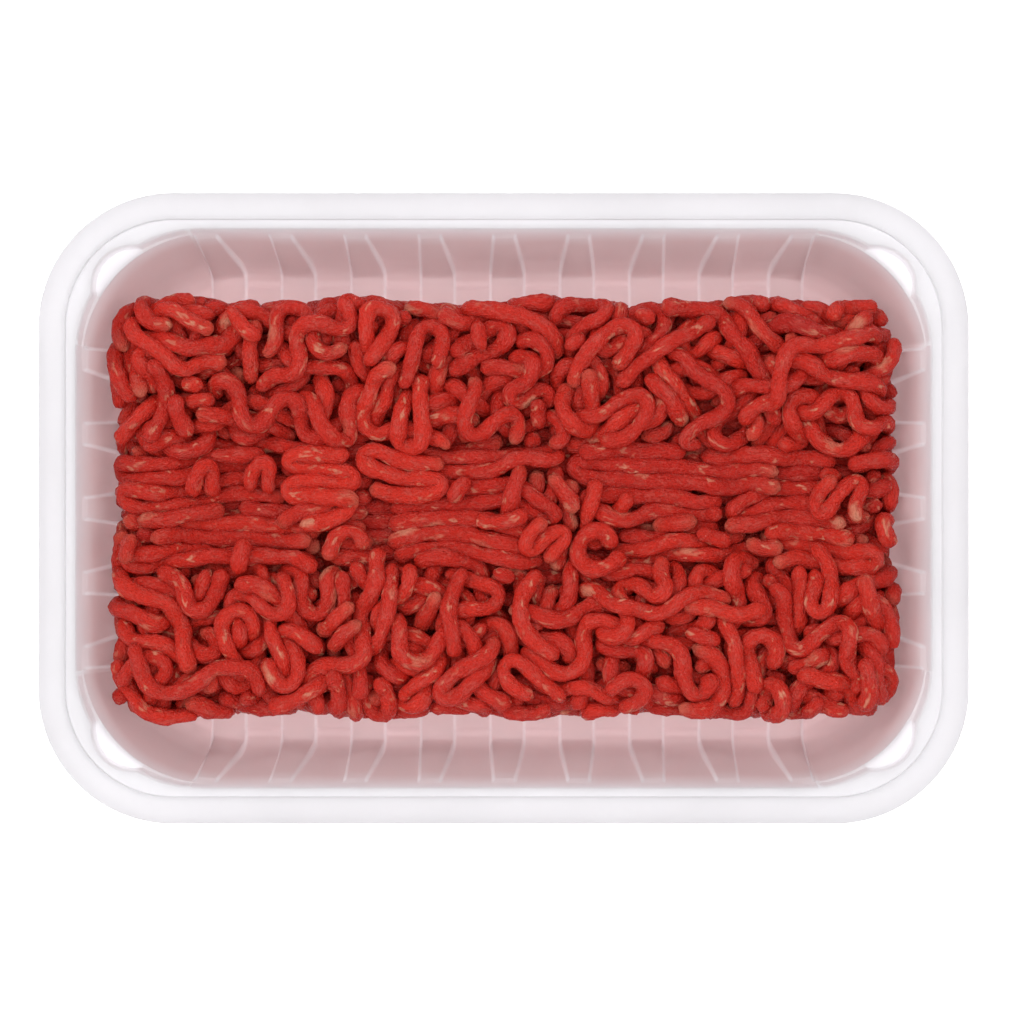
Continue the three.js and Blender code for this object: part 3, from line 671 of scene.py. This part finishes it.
@dataclass
class StrandLayout:
    """Lays every strand as a line on the unrolled skin, patch by patch, by seeded rules."""

    form: BlockForm
    spacing: float = 2.0
    pitch: float = 4.35
    cell: float = 10.4
    tuck: float = 3.4
    seed: int = 4127

    def patches(self) -> list[Patch]:
        """The groups of strands: combed beds, curls over them, folded knots and the sides."""
        bed = [Patch("bed", Habit.COMBED, x, 0.0, 48.0, 104.0, 2.2) for x in (-72, -24, 24, 72)]
        combed = [
            Patch("combed", Habit.COMBED, -67, 8.5, 60, 24, 6.3, 0.03),
            Patch("combed", Habit.COMBED, -11, 1.5, 41, 29, 6.5, -0.05),
            Patch("combed", Habit.COMBED, 51, 7.5, 66, 23, 6.3, -0.02),
            Patch("combed", Habit.COMBED, -66, -12.0, 58, 18, 6.3, -0.05),
            Patch("combed", Habit.COMBED, 58, -13.0, 66, 18, 6.3, 0.08),
            Patch("combed", Habit.COMBED, 14, 3.0, 12, 30, 6.3, 1.45),
        ]
        knots = [
            Patch("curls", Habit.FOLDED, -46, 6.5, 15, 21, 11.0, 0.04),
            Patch("curls", Habit.FOLDED, -25, 10.5, 20, 13, 10.6, -0.12),
            Patch("curls", Habit.FOLDED, -78, 7.0, 8, 9, 10.2, 1.3),
            Patch("curls", Habit.FOLDED, -63, 8.0, 8, 8, 10.2, 1.8),
            Patch("curls", Habit.FOLDED, 8, -6.0, 8, 13, 10.2, 0.5),
            Patch("curls", Habit.COILED, 24, -10.0, 15, 15, 10.4),
            Patch("curls", Habit.COILED, -38, -12.0, 12, 12, 10.4),
            Patch("curls", Habit.FOLDED, 86, 2.0, 10, 13, 10.2, 1.2),
        ]
        curls = []
        for lift, share, edge in ((6.4, 1.0, 49.5), (10.6, 0.8, 45.5)):
            for x in (-49, 49):
                for inner, way in ((21, 1), (19, -1)):
                    middle, depth = way * (edge + inner) / 2, edge - inner
                    curls.append(Patch("curls", Habit.CURLED, x, middle, 98, depth, lift, share=share))
        loose = [
            Patch("loose", Habit.STUBS, -68, -4.0, 50, 34, 10.4, share=0.5),
            Patch("loose", Habit.STUBS, 0, -2.0, 60, 34, 10.4, share=0.8),
            Patch("loose", Habit.STUBS, 62, -2.0, 56, 36, 10.4, share=0.5),
            Patch("loose", Habit.STUBS, 0, 35.0, 184, 22, 13.0, share=0.4),
            Patch("loose", Habit.STUBS, 0, -35.0, 184, 22, 13.0, share=0.4),
        ]
        sides = []
        for sign in (-1, 1):
            sides.append(Patch("sides", Habit.COMBED, 0, sign * 64.0, 190, 24, 2.2))
            sides.append(Patch("sides", Habit.COMBED, sign * 110.5, 0, 24, 96, 2.2, math.pi / 2))
            sides.append(Patch("sides", Habit.CURLED, sign * 103.0, 0, 12, 94, 5.6, math.pi / 2, 0.6))
            sides.append(Patch("sides", Habit.CURLED, 0, sign * 56.0, 184, 10, 5.2, 0.0, 0.35))
            sides.append(Patch("sides", Habit.STUBS, 0, sign * 72.0, 180, 8, 4.6))
            for other in (-1, 1):
                x, y = sign * 104.0, other * 57.6
                around = math.pi / 2 + sign * other * math.pi / 4
                sides.append(Patch("sides", Habit.COMBED, x, y, 26, 26, 2.2, around))
                sides.append(Patch("curls", Habit.CURLED, sign * 93.0, other * 46.5, 16, 16, 8.0, share=1.5))
        return bed + combed + curls + knots + loose + sides

    def strands(self) -> list[Strand]:
        """Every strand of every patch."""
        rng = np.random.default_rng(self.seed)
        makers = {
            Habit.COMBED: self._combed, Habit.CURLED: self._curled, Habit.FOLDED: self._folded,
            Habit.COILED: self._coiled, Habit.STUBS: self._stubs,
        }
        made = []
        for patch in self.patches():
            made.extend(makers[patch.habit](patch, rng))
        return made

    def _strand(self, patch: Patch, path: np.ndarray, bloom_and_painted_light: float) -> Strand:
        """Makes a strand of a path of x, y and lift in its patch's own coordinates, evenly spaced."""
        along = np.concatenate([[0.0], np.cumsum(np.hypot(*np.diff(path[:, :2], axis=0).T))])
        places = np.linspace(0.0, along[-1], max(4, int(round(along[-1] / self.spacing)) + 1))
        even = np.column_stack([np.interp(places, along, path[:, k]) for k in range(3)])
        cos, sin = math.cos(patch.heading), math.sin(patch.heading)
        turned = np.column_stack([patch.x + even[:, 0] * cos - even[:, 1] * sin,
                                  patch.y + even[:, 0] * sin + even[:, 1] * cos, even[:, 2]])
        return Strand(patch.kind, turned, bloom_and_painted_light)

    @staticmethod
    def _span(patch: Patch) -> tuple[float, float]:
        """A patch's length along its heading and its breadth across it."""
        return (patch.depth, patch.width) if patch.heading > 1.5 else (patch.width, patch.depth)

    def _combed(self, patch: Patch, rng: np.random.Generator) -> list[Strand]:
        """Lanes side by side with a shared wave; some turn back into the next lane at an end."""
        span, breadth = self._span(patch)
        lanes = max(1, int(round(breadth / self.pitch)))
        phase = rng.uniform(0, 2 * math.pi)
        bed = patch.kind == "bed"

        def lane_path(lane: int, start: float, stop: float) -> np.ndarray:
            x = np.linspace(start, stop, max(4, int(abs(stop - start) / 1.5)))
            wave = 1.6 * np.sin(x * 0.13 + phase + lane * 0.3) + 0.9 * np.sin(x * 0.33 + lane * 1.1)
            y = (lane - (lanes - 1) / 2) * self.pitch + wave
            return np.column_stack([x, y, patch.lift + 1.3 * np.sin(x * 0.19 + lane * 2.3)])

        def turn_back(lane: int, turn: float, stop: float, other_stop: float) -> np.ndarray:
            out = lane_path(lane, stop, turn)
            back = lane_path(lane + 1, turn, other_stop)
            angle = np.linspace(-math.pi / 2, math.pi / 2, 7)[1:-1, None]
            middle, half = (out[-1] + back[0]) / 2, (back[0] - out[-1]) / 2
            way = math.copysign(1.0, turn - stop)
            bend = middle + half * np.sin(angle) + np.array([way * self.pitch * 0.6, 0, 0.5]) * np.cos(angle)
            return np.vstack([out, bend, back])

        made = []
        lane = 0
        while lane < lanes:
            start = -span / 2 + rng.uniform(-3.0, 3.0)
            stop = span / 2 + rng.uniform(-3.0, 3.0)
            # Painted shade: the bed, lowest under all, gets a dull bloom so the gaps look dark; elsewhere
            # bloom varies at random.
            bloom_and_painted_light = rng.uniform(0.0, 0.2) if bed else rng.uniform(0.4, 0.95)
            paired = not bed and lane + 1 < lanes and rng.random() < 0.6
            while start < stop - 7:
                end = min(stop, start + rng.uniform(20, 52))
                end = stop if stop - end < 8 else end
                if paired:
                    near, far = (start, end) if rng.random() < 0.6 else (end, start)
                    other = far + rng.uniform(-3, 3)
                    made.append(self._strand(patch, turn_back(lane, near, far, other), bloom_and_painted_light))
                else:
                    made.append(self._strand(patch, lane_path(lane, start, end), bloom_and_painted_light))
                start = end + rng.uniform(2.5, 4.5)
            lane += 2 if paired else 1
        return made

    def _curl(self, rng: np.random.Generator) -> np.ndarray:
        """Headings of one loose strand: a meander, a hairpin, an open loop, an arc or a stub."""
        style = rng.choice(5, p=[0.40, 0.22, 0.10, 0.22, 0.06])
        heading = rng.uniform(0, 2 * math.pi)
        if style == 0:
            s = np.arange(int(rng.uniform(19, 34))) * self.spacing
            turns = rng.uniform(0.9, 1.8) * np.sin(2 * math.pi * s / rng.uniform(26, 42) + heading * 3)
            heading = rng.choice([0.0, math.pi]) + rng.uniform(-1.0, 1.0)
        elif style == 1:
            legs = rng.uniform(3.5, 11, 2).astype(int)
            bend = int(rng.uniform(5, 7))
            way = rng.choice([-1, 1])
            sweep = way * math.pi * (np.arange(bend) + 0.5) / bend
            turns = np.concatenate([np.zeros(legs[0]), sweep, np.full(legs[1], way * math.pi)])
            heading = rng.choice([-1, 1]) * math.pi / 2 + rng.uniform(-0.9, 0.9)
        elif style == 2:
            count = int(rng.uniform(14, 22))
            turns = rng.choice([-1, 1]) * np.cumsum(np.full(count, self.spacing / rng.uniform(3.9, 5.6)))
            turns[int(count * 0.7):] = turns[int(count * 0.7)]
        elif style == 3:
            turns = np.cumsum(np.full(int(rng.uniform(9, 22)), rng.uniform(-0.15, 0.15)))
        else:
            turns = np.zeros(int(rng.uniform(3, 6)))
        return heading + turns + np.cumsum(rng.normal(0, 0.11, len(turns)))

    def _walk(self, headings: np.ndarray, centre: tuple[float, float], lift: np.ndarray) -> np.ndarray:
        """Walks along headings by the node spacing and centres the path on a place."""
        steps = np.column_stack([np.cos(headings), np.sin(headings)]) * self.spacing
        line = np.vstack([np.zeros(2), np.cumsum(steps, axis=0)])
        return np.column_stack([line - line.mean(axis=0) + np.array(centre), lift])

    def _curled(self, patch: Patch, rng: np.random.Generator) -> list[Strand]:
        """Loose curls spread evenly over a patch."""
        span, breadth = self._span(patch)
        cell = self.cell / math.sqrt(patch.share)
        across = max(1, int(round(span / cell)))
        rows = max(1, int(round(breadth / cell)))
        made = []
        for i in range(across):
            for j in range(rows):
                centre = ((i + 0.5 + rng.uniform(-0.35, 0.35)) / across * span - span / 2,
                          (j + 0.5 + rng.uniform(-0.35, 0.35)) / rows * breadth - breadth / 2)
                headings = self._curl(rng)
                place = np.arange(len(headings) + 1.0)
                tilt = (place / len(headings) - 0.5) * rng.uniform(-3.6, 3.6)
                from_end = np.minimum(place, len(headings) - place) * self.spacing
                tucked = self.tuck * np.exp(-from_end / 4.0)
                path = self._walk(headings, centre, patch.lift + tilt - tucked)
                path[:, 1] = np.clip(path[:, 1], -breadth / 2 - 3, breadth / 2 + 3)
                made.append(self._strand(patch, path, rng.uniform(0.55, 1.0)))
        return made

    def _folded(self, patch: Patch, rng: np.random.Generator) -> list[Strand]:
        """A knot: one strand that folds to and fro, piled a little higher in the middle."""
        rows = max(2, int(round(patch.depth / self.pitch)))
        path = []
        for row in range(rows):
            way = 1 if row % 2 == 0 else -1
            y = (row - (rows - 1) / 2) * self.pitch
            x = way * np.linspace(-0.5, 0.5, 9) * patch.width * rng.uniform(0.85, 1.0)
            pile = 2.2 * math.cos(y / max(patch.depth, 1.0) * 2.4)
            bow = 1.3 * np.cos(x / patch.width * math.pi)
            path.append(np.column_stack([x, y + bow, patch.lift + pile + 0.8 * bow]))
            if row < rows - 1:
                side = way * (patch.width / 2 + 1.8)
                path.append(np.array([[side, y + self.pitch * 0.5, patch.lift + pile]]))
        return [self._strand(patch, np.vstack(path), 1.0)]

    def _coiled(self, patch: Patch, rng: np.random.Generator) -> list[Strand]:
        """A knot: a strand wound round itself, as where it fell straight down."""
        inner, outer = self.pitch * 0.75, patch.width / 2
        turns = (outer - inner) / self.pitch
        share = np.linspace(0, 1, int(turns * 24))
        angle = rng.uniform(0, 6.3) + share * turns * 2 * math.pi
        radius = inner + (outer - inner) * share
        lift = patch.lift + 2.0 * (1 - share)
        path = np.column_stack([np.cos(angle) * radius, np.sin(angle) * radius, lift])
        return [self._strand(patch, path, 1.0)]

    def _stubs(self, patch: Patch, rng: np.random.Generator) -> list[Strand]:
        """Short broken pieces, scattered over a patch."""
        span, breadth = self._span(patch)
        made = []
        for _ in range(int(span * breadth * patch.share / 250)):
            count = int(rng.uniform(3, 9))
            bend = rng.uniform(-0.3, 0.3)
            headings = rng.choice([0.0, 1.5]) + rng.uniform(-0.7, 0.7) + bend * np.arange(count)
            centre = (rng.uniform(-0.5, 0.5) * span, rng.uniform(-0.5, 0.5) * breadth)
            path = self._walk(headings, centre, np.full(count + 1, patch.lift))
            made.append(self._strand(patch, path, rng.uniform(0.5, 1.0)))
        return made


@dataclass
class StrandSettling:
    """Settles strands by position-based dynamics: they keep their length and curl, and pack together."""

    form: BlockForm
    tray: FormedTray
    radius: float = 2.06
    packing: float = 0.96
    steps: int = 420
    pull: float = 0.07
    stiffness: dict[int, float] = field(default_factory=lambda: {1: 1.0, 2: 0.55, 4: 0.18, 8: 0.05})

    def settle(self, strands: list[Strand], spacing: float) -> list[np.ndarray]:
        """Runs the simulation.

        Args:
            strands: The strands as laid.
            spacing: Distance between neighbouring nodes; not used.

        Returns:
            The settled nodes of each strand.
        """
        counts = np.array([len(strand.line) for strand in strands])
        starts = np.concatenate([[0], np.cumsum(counts)])
        sheet = np.vstack([strand.line[:, :2] for strand in strands])
        lift = np.concatenate([strand.line[:, 2] for strand in strands])
        owner = np.repeat(np.arange(len(strands)), counts)
        local = np.arange(len(sheet)) - starts[owner]
        points = self.form.skin(sheet, lift)
        links = self._links(sheet, owner, local)
        pairs = self._near_pairs(points, owner, local)
        for step in range(self.steps):
            fade = 1.0 if step < self.steps * 0.8 else 0.35
            _, normal = self.form.distance(points)
            points -= normal * self.pull * fade
            if step % 5 == 0:
                pairs = self._near_pairs(points, owner, local)
            for first, second, rest, strength in links:
                self._pull_to(points, first, second, rest, strength)
            for _ in range(2):
                self._push_apart(points, pairs)
            far, normal = self.form.distance(points)
            points += normal * np.maximum(0.0, self.radius * 0.93 - far)[:, None]
            self.form.stay_inside(points, self.radius, self.tray)
        settled = []
        for i in range(len(strands)):
            nodes = points[starts[i]:starts[i + 1]].copy()
            for _ in range(2):
                nodes[1:-1] = nodes[1:-1] * 0.5 + (nodes[:-2] + nodes[2:]) * 0.25
            settled.append(nodes)
        return settled

    def _links(self, sheet: np.ndarray, owner: np.ndarray, local: np.ndarray) -> list[tuple]:
        """Links along strands, in groups whose links share no node, with their rest lengths."""
        made = []
        for reach, strength in self.stiffness.items():
            first = np.arange(len(sheet) - reach)
            first = first[owner[first] == owner[first + reach]]
            for group in (0, 1):
                chosen = first[(local[first] // reach) % 2 == group]
                rest = np.hypot(*(sheet[chosen + reach] - sheet[chosen]).T)
                made.append((chosen, chosen + reach, rest, strength))
        return made

    @staticmethod
    def _pull_to(points: np.ndarray, first: np.ndarray, second: np.ndarray, rest: np.ndarray,
                 strength: float) -> None:
        """Moves linked nodes towards their rest length, in place."""
        gap = points[second] - points[first]
        length = np.sqrt(gap[:, 0] ** 2 + gap[:, 1] ** 2 + gap[:, 2] ** 2)
        move = gap * (0.5 * strength * (1.0 - rest / np.maximum(length, 1e-6)))[:, None]
        points[first] += move
        points[second] -= move

    def _near_pairs(self, points: np.ndarray, owner: np.ndarray,
                    local: np.ndarray) -> tuple[np.ndarray, np.ndarray]:
        """Pairs of nodes near enough to touch soon, found by sorting nodes into cells."""
        reach = 2 * self.radius + 1.4
        cell = np.floor((points - points.min(axis=0)) / reach).astype(np.int64) + 1
        size = cell.max(axis=0) + 2
        key = (cell[:, 0] * size[1] + cell[:, 1]) * size[2] + cell[:, 2]
        order = np.argsort(key, kind="stable")
        ordered = key[order]
        firsts, seconds = [], []
        half = [(x, y, z) for x in (0, 1) for y in (-1, 0, 1) for z in (-1, 0, 1) if (x, y, z) >= (0, 0, 0)]
        for x, y, z in half:
            other = key + (x * size[1] + y) * size[2] + z
            start = np.searchsorted(ordered, other, "left")
            count = np.searchsorted(ordered, other, "right") - start
            first = np.repeat(np.arange(len(points)), count)
            within = np.arange(len(first)) - np.repeat(np.cumsum(count) - count, count)
            second = order[np.repeat(start, count) + within]
            keep = first < second if (x, y, z) == (0, 0, 0) else np.ones(len(first), bool)
            firsts.append(first[keep])
            seconds.append(second[keep])
        first, second = np.concatenate(firsts), np.concatenate(seconds)
        gap = points[second] - points[first]
        close = gap[:, 0] ** 2 + gap[:, 1] ** 2 + gap[:, 2] ** 2 < reach ** 2
        apart = (owner[first] != owner[second]) | (np.abs(local[first] - local[second]) > 3)
        return first[close & apart], second[close & apart]

    def _push_apart(self, points: np.ndarray, pairs: tuple[np.ndarray, np.ndarray]) -> None:
        """Pushes overlapping nodes apart, in place."""
        first, second = pairs
        gap = points[second] - points[first]
        length = np.sqrt(gap[:, 0] ** 2 + gap[:, 1] ** 2 + gap[:, 2] ** 2)
        touch = length < 2 * self.radius * self.packing
        first, second, gap, length = first[touch], second[touch], gap[touch], length[touch]
        depth = 2 * self.radius * self.packing - length
        move = gap * (0.32 * depth / np.maximum(length, 1e-6))[:, None]
        for k in range(3):
            points[:, k] -= np.bincount(first, move[:, k], len(points))
            points[:, k] += np.bincount(second, move[:, k], len(points))


@dataclass
class StrandTubes:
    """Turns settled strands into joined tubes, one mesh for each kind, with coordinates along them."""

    radius: float = 2.06
    around: int = 12
    step: float = 1.0
    shaded_below_z: float = 19.0
    lit_above_z: float = 30.0
    seed: int = 991

    def build(self, name: str, lines: list[np.ndarray], blooms_and_painted_light: list[float],
              material: bpy.types.Material) -> bpy.types.Object:
        """Joins the tubes of many strands into one piece."""
        rng = np.random.default_rng(self.seed + len(lines))
        blocks, quads, places, tones, bloom_and_top_light_values, end_values = [], [], [], [], [], []
        offset = 0
        for line, bloom_and_painted_light in zip(lines, blooms_and_painted_light):
            rings, place = self._tube(line, rng)
            count = rings.shape[0]
            blocks.append(rings.reshape(-1, 3))
            places.append(place.reshape(-1, 3))
            # Painted light: strands are brightened with height from 19 mm to 30 mm and dulled below, where
            # shade falls.
            height = np.clip((rings[..., 2].ravel() - self.shaded_below_z) / (self.lit_above_z - self.shaded_below_z), 0, 1)
            tones.append(np.full(count * self.around, rng.uniform(-0.14, 0.12)))
            bloom_and_top_light_values.append(bloom_and_painted_light * (0.45 + 0.55 * height))
            from_end = np.minimum(np.arange(count), np.arange(count)[::-1]) * self.step
            pale = np.exp(-from_end / 1.4) * rng.choice([0.0, 0.2, 0.45], p=[0.7, 0.2, 0.1])
            end_values.append(np.repeat(pale, self.around))
            quads.append(self._faces(count) + offset)
            offset += count * self.around
        vertices = np.vstack(blocks) * MM
        faces = np.vstack(quads)
        mesh = bpy.data.meshes.new(name)
        mesh.vertices.add(len(vertices))
        mesh.vertices.foreach_set("co", vertices.astype(np.float32).ravel())
        mesh.loops.add(faces.size)
        mesh.loops.foreach_set("vertex_index", faces.astype(np.int32).ravel())
        mesh.polygons.add(len(faces))
        mesh.polygons.foreach_set("loop_start", np.arange(0, faces.size, 4, dtype=np.int32))
        mesh.update(calc_edges=True)
        self._attribute(mesh, "strand_place", "FLOAT_VECTOR", "vector", np.vstack(places))
        self._attribute(mesh, "strand_tone", "FLOAT", "value", np.concatenate(tones))
        self._attribute(mesh, "strand_bloom_and_painted_light", "FLOAT", "value", np.concatenate(bloom_and_top_light_values))
        self._attribute(mesh, "strand_end", "FLOAT", "value", np.concatenate(end_values))
        self._cap(mesh)
        return link_object(name, mesh, material)

    @staticmethod
    def _attribute(mesh: bpy.types.Mesh, name: str, kind: str, key: str, values: np.ndarray) -> None:
        """Stores one value or vector for each vertex."""
        attribute = mesh.attributes.new(name, kind, "POINT")
        attribute.data.foreach_set(key, values.astype(np.float32).ravel())

    @staticmethod
    def _cap(mesh: bpy.types.Mesh) -> None:
        """Closes the small open ends of every tube."""
        shape = bmesh.new()
        shape.from_mesh(mesh)
        ends = [edge for edge in shape.edges if edge.is_boundary]
        bmesh.ops.holes_fill(shape, edges=ends)
        bmesh.ops.recalc_face_normals(shape, faces=shape.faces)
        shape.to_mesh(mesh)
        shape.free()

    def _faces(self, count: int) -> np.ndarray:
        """Quads of one tube of count rings."""
        ring = np.arange(count - 1)[:, None] * self.around
        side = np.arange(self.around)[None, :]
        following = (side + 1) % self.around
        return np.stack([ring + side, ring + following, ring + self.around + following,
                         ring + self.around + side], axis=-1).reshape(-1, 4)

    def _resample(self, line: np.ndarray) -> np.ndarray:
        """A smooth curve through the nodes, with even steps."""
        before = np.vstack([2 * line[:1] - line[1:2], line[:-1]])
        after = np.vstack([line[1:], 2 * line[-1:] - line[-2:-1]])
        slope = (after - before) / 2
        fine = []
        parts = max(2, int(round(2.0 / self.step)))
        for k in range(parts):
            t = k / parts
            h00, h10 = 2 * t ** 3 - 3 * t ** 2 + 1, t ** 3 - 2 * t ** 2 + t
            h01, h11 = -2 * t ** 3 + 3 * t ** 2, t ** 3 - t ** 2
            fine.append(h00 * line[:-1] + h10 * slope[:-1] + h01 * line[1:] + h11 * slope[1:])
        curve = np.stack(fine, axis=1).reshape(-1, 3)
        return np.vstack([curve, line[-1:]])

    def _tube(self, line: np.ndarray, rng: np.random.Generator) -> tuple[np.ndarray, np.ndarray]:
        """Rings of one strand, with blunt rounded ends, a soft uneven girth and coordinates along it."""
        curve = self._resample(line)
        tangent = np.gradient(curve, axis=0)
        tangent /= np.linalg.norm(tangent, axis=1)[:, None]
        side = np.cross(tangent[0], [0.0, 0.0, 1.0])
        if np.linalg.norm(side) < 0.1:
            side = np.cross(tangent[0], [0.0, 1.0, 0.0])
        sides = []
        for direction in tangent:
            side = side - direction * float((side * direction).sum())
            side = side / math.sqrt(float((side * side).sum()))
            sides.append(side)
        sides = np.array(sides)
        binormal = np.cross(tangent, sides)
        along = np.concatenate([[0.0], np.cumsum(np.linalg.norm(np.diff(curve, axis=0), axis=1))])
        total = along[-1]
        end_a, end_b = rng.uniform(0.7, 1.15, 2)
        from_end = np.minimum(along / end_a, (total - along) / end_b)
        dome = self.radius * 1.2
        taper = np.sqrt(np.clip(1 - (1 - np.clip(from_end / dome, 0.03, 1.0)) ** 2, 0.0, 1.0))
        phase = rng.uniform(0, 2 * math.pi, 8)
        girth = rng.uniform(0.94, 1.10) * (
            1 + 0.05 * np.sin(along * 0.45 + phase[0]) + 0.045 * np.sin(along * 0.97 + phase[1])
            + 0.02 * np.sin(along * 2.1 + phase[6]))
        angle = np.arange(self.around) * 2 * math.pi / self.around
        swell = (0.055 * np.sin(2 * angle[None] + along[:, None] * 0.41 + phase[2])
                 + 0.045 * np.sin(3 * angle[None] - along[:, None] * 0.83 + phase[3])
                 + 0.034 * np.sin(4 * angle[None] + along[:, None] * 1.57 + phase[4])
                 + 0.028 * np.sin(5 * angle[None] - along[:, None] * 2.6 + phase[5]))
        size = self.radius * (girth * taper)[:, None] * (1 + swell)
        spokes = (sides[:, None] * np.cos(angle)[None, :, None]
                  + binormal[:, None] * np.sin(angle)[None, :, None])
        rings = curve[:, None] + spokes * size[..., None]
        shift = rng.uniform(0, 900, 3)
        place = np.stack([
            np.broadcast_to(along[:, None] * 0.55, size.shape),
            np.cos(angle)[None] * size, np.sin(angle)[None] * size], axis=-1) + shift
        return rings, place


@dataclass
class MinceBlock:
    """The block of mince: a core coloured dull as painted shade where it shows in the gaps, and its strands,
    kind by kind.
    """

    tray: FormedTray
    form: BlockForm = field(default_factory=BlockForm)

    def build(self, material: bpy.types.Material) -> list[bpy.types.Object]:
        """Builds the core and every kind of strand."""
        layout = StrandLayout(self.form)
        strands = layout.strands()
        log.info("laid %d strands, %.1f m in all", len(strands),
                 sum(len(strand.line) for strand in strands) * layout.spacing / 1000)
        settled = StrandSettling(self.form, self.tray).settle(strands, layout.spacing)
        tubes = StrandTubes()
        pieces = [self._core(material)]
        for kind in dict.fromkeys(strand.kind for strand in strands):
            chosen = [i for i, strand in enumerate(strands) if strand.kind == kind]
            piece = tubes.build(f"mince_{kind}", [settled[i] for i in chosen],
                                [strands[i].bloom_and_painted_light for i in chosen], material)
            pieces.append(piece)
        return pieces

    def _core(self, material: bpy.types.Material) -> bpy.types.Object:
        """The core: a box bent to the block's form, with a relief of lanes along it."""
        shape = bmesh.new()
        bmesh.ops.create_grid(shape, x_segments=150, y_segments=90, size=1.0)
        reach = self.form.corner - self.form.edge + self.form.edge * math.pi / 2 + 10.5
        half = np.array([self.form.half_x, self.form.half_y]) - self.form.corner + reach
        flat = np.array([vertex.co[:2] for vertex in shape.verts]) * half
        lift = 0.5 * np.sin(flat[:, 1] * 2 * math.pi / 4.35) + 0.3 * np.sin(flat[:, 0] * 0.7 + flat[:, 1])
        placed = self.form.skin(flat, lift + 0.2)
        for vertex, spot in zip(shape.verts, placed):
            vertex.co = (spot[0], spot[1], max(spot[2], self.form.bottom))
        rim = [edge for edge in shape.edges if edge.is_boundary]
        bmesh.ops.holes_fill(shape, edges=rim)
        bmesh.ops.recalc_face_normals(shape, faces=shape.faces)
        mesh = bpy.data.meshes.new("mince_core")
        for vertex in shape.verts:
            vertex.co *= MM
        shape.to_mesh(mesh)
        shape.free()
        count = len(mesh.vertices)
        flat_coordinates = np.empty(count * 3, np.float32)
        mesh.vertices.foreach_get("co", flat_coordinates)
        StrandTubes._attribute(mesh, "strand_place", "FLOAT_VECTOR", "vector", flat_coordinates / MM)
        StrandTubes._attribute(mesh, "strand_tone", "FLOAT", "value", np.full(count, 0.05))
        # Painted shade: a low fixed bloom makes the core dull where it shows between strands.
        StrandTubes._attribute(mesh, "strand_bloom_and_painted_light", "FLOAT", "value", np.full(count, 0.3))
        StrandTubes._attribute(mesh, "strand_end", "FLOAT", "value", np.zeros(count))
        return link_object("mince_core", mesh, material)


# ---------------------------------------------------------------------------------------------- studio
@dataclass
class Studio:
    """Camera, floor and soft lights."""

    camera_height_m: float = 0.551
    camera_x_m: float = 0.0113
    camera_y_m: float = -0.0009
    focal_px: float = 2074.0
    image_px: float = 1024.0
    centre_px: float = 550.0

    def camera(self) -> bpy.types.Object:
        """A camera that looks straight down, a little off centre, with its view shifted back."""
        data = bpy.data.cameras.new("camera")
        data.sensor_width = 36.0
        data.lens = self.focal_px / self.image_px * data.sensor_width
        data.shift_x = -(self.centre_px - self.image_px / 2) / self.image_px
        data.clip_start = 0.01
        camera = bpy.data.objects.new("camera", data)
        camera.location = (self.camera_x_m, self.camera_y_m, self.camera_height_m)
        bpy.context.scene.collection.objects.link(camera)
        bpy.context.scene.camera = camera
        return camera

    def floor(self) -> bpy.types.Object:
        """A wide plain floor."""
        shape = bmesh.new()
        bmesh.ops.create_grid(shape, x_segments=2, y_segments=2, size=3.0)
        mesh = bpy.data.meshes.new("studio_floor")
        shape.to_mesh(mesh)
        shape.free()
        floor = link_object("studio_floor", mesh, StudioPaper().build())
        return floor

    def light(self, name: str, place: tuple[float, float, float], size: float, power: float) -> None:
        """A square soft light that points at the pack."""
        data = bpy.data.lights.new(name, "AREA")
        data.shape = "SQUARE"
        data.size = size
        data.energy = power
        lamp = bpy.data.objects.new(name, data)
        lamp.location = place
        lamp.rotation_mode = "QUATERNION"
        lamp.rotation_quaternion = (-Vector(place)).to_track_quat("-Z", "Y")
        bpy.context.scene.collection.objects.link(lamp)

    def build(self) -> None:
        """Sets the camera, the floor, the lights and the sky."""
        self.camera()
        self.floor()
        self.light("softbox_above", (0.0, -0.1, 1.3), 1.2, 6.6)
        self.light("softbox_left", (-1.2, 0.1, 0.6), 0.9, 4.0)
        self.light("softbox_right", (1.2, -0.1, 0.6), 0.9, 3.9)
        self.light("softbox_front", (-0.1, -1.2, 0.6), 0.9, 0.9)
        self.light("key", (-0.6, 0.7, 1.0), 0.18, 3.0)
        world = bpy.data.worlds.new("studio_sky")
        world.use_nodes = True
        background = world.node_tree.nodes["Background"]
        background.inputs["Color"].default_value = (1.0, 1.0, 1.0, 1.0)
        background.inputs["Strength"].default_value = 0.33
        bpy.context.scene.world = world
        bpy.context.scene.view_settings.view_transform = "Standard"
        bpy.context.scene.view_settings.look = "None"


def main() -> None:
    """Builds the studio, the tray and the mince, and reports each piece."""
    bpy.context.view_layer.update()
    Studio().build()
    lowest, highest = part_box("tray")
    size = (highest - lowest) / MM
    tray = FormedTray((size.x, size.y, size.z))
    sheet = tray.build(FormedPolypropylene().build())
    seat_piece(sheet, "tray")
    log.info("tray: %d faces", len(sheet.data.polygons))
    for piece in MinceBlock(tray).build(FreshMince().build()):
        seat_piece(piece, "mince")
        log.info("%s: %d faces", piece.name, len(piece.data.polygons))


if __name__ == "__main__":
    logging.basicConfig(level=logging.INFO, format="%(message)s")
    main()
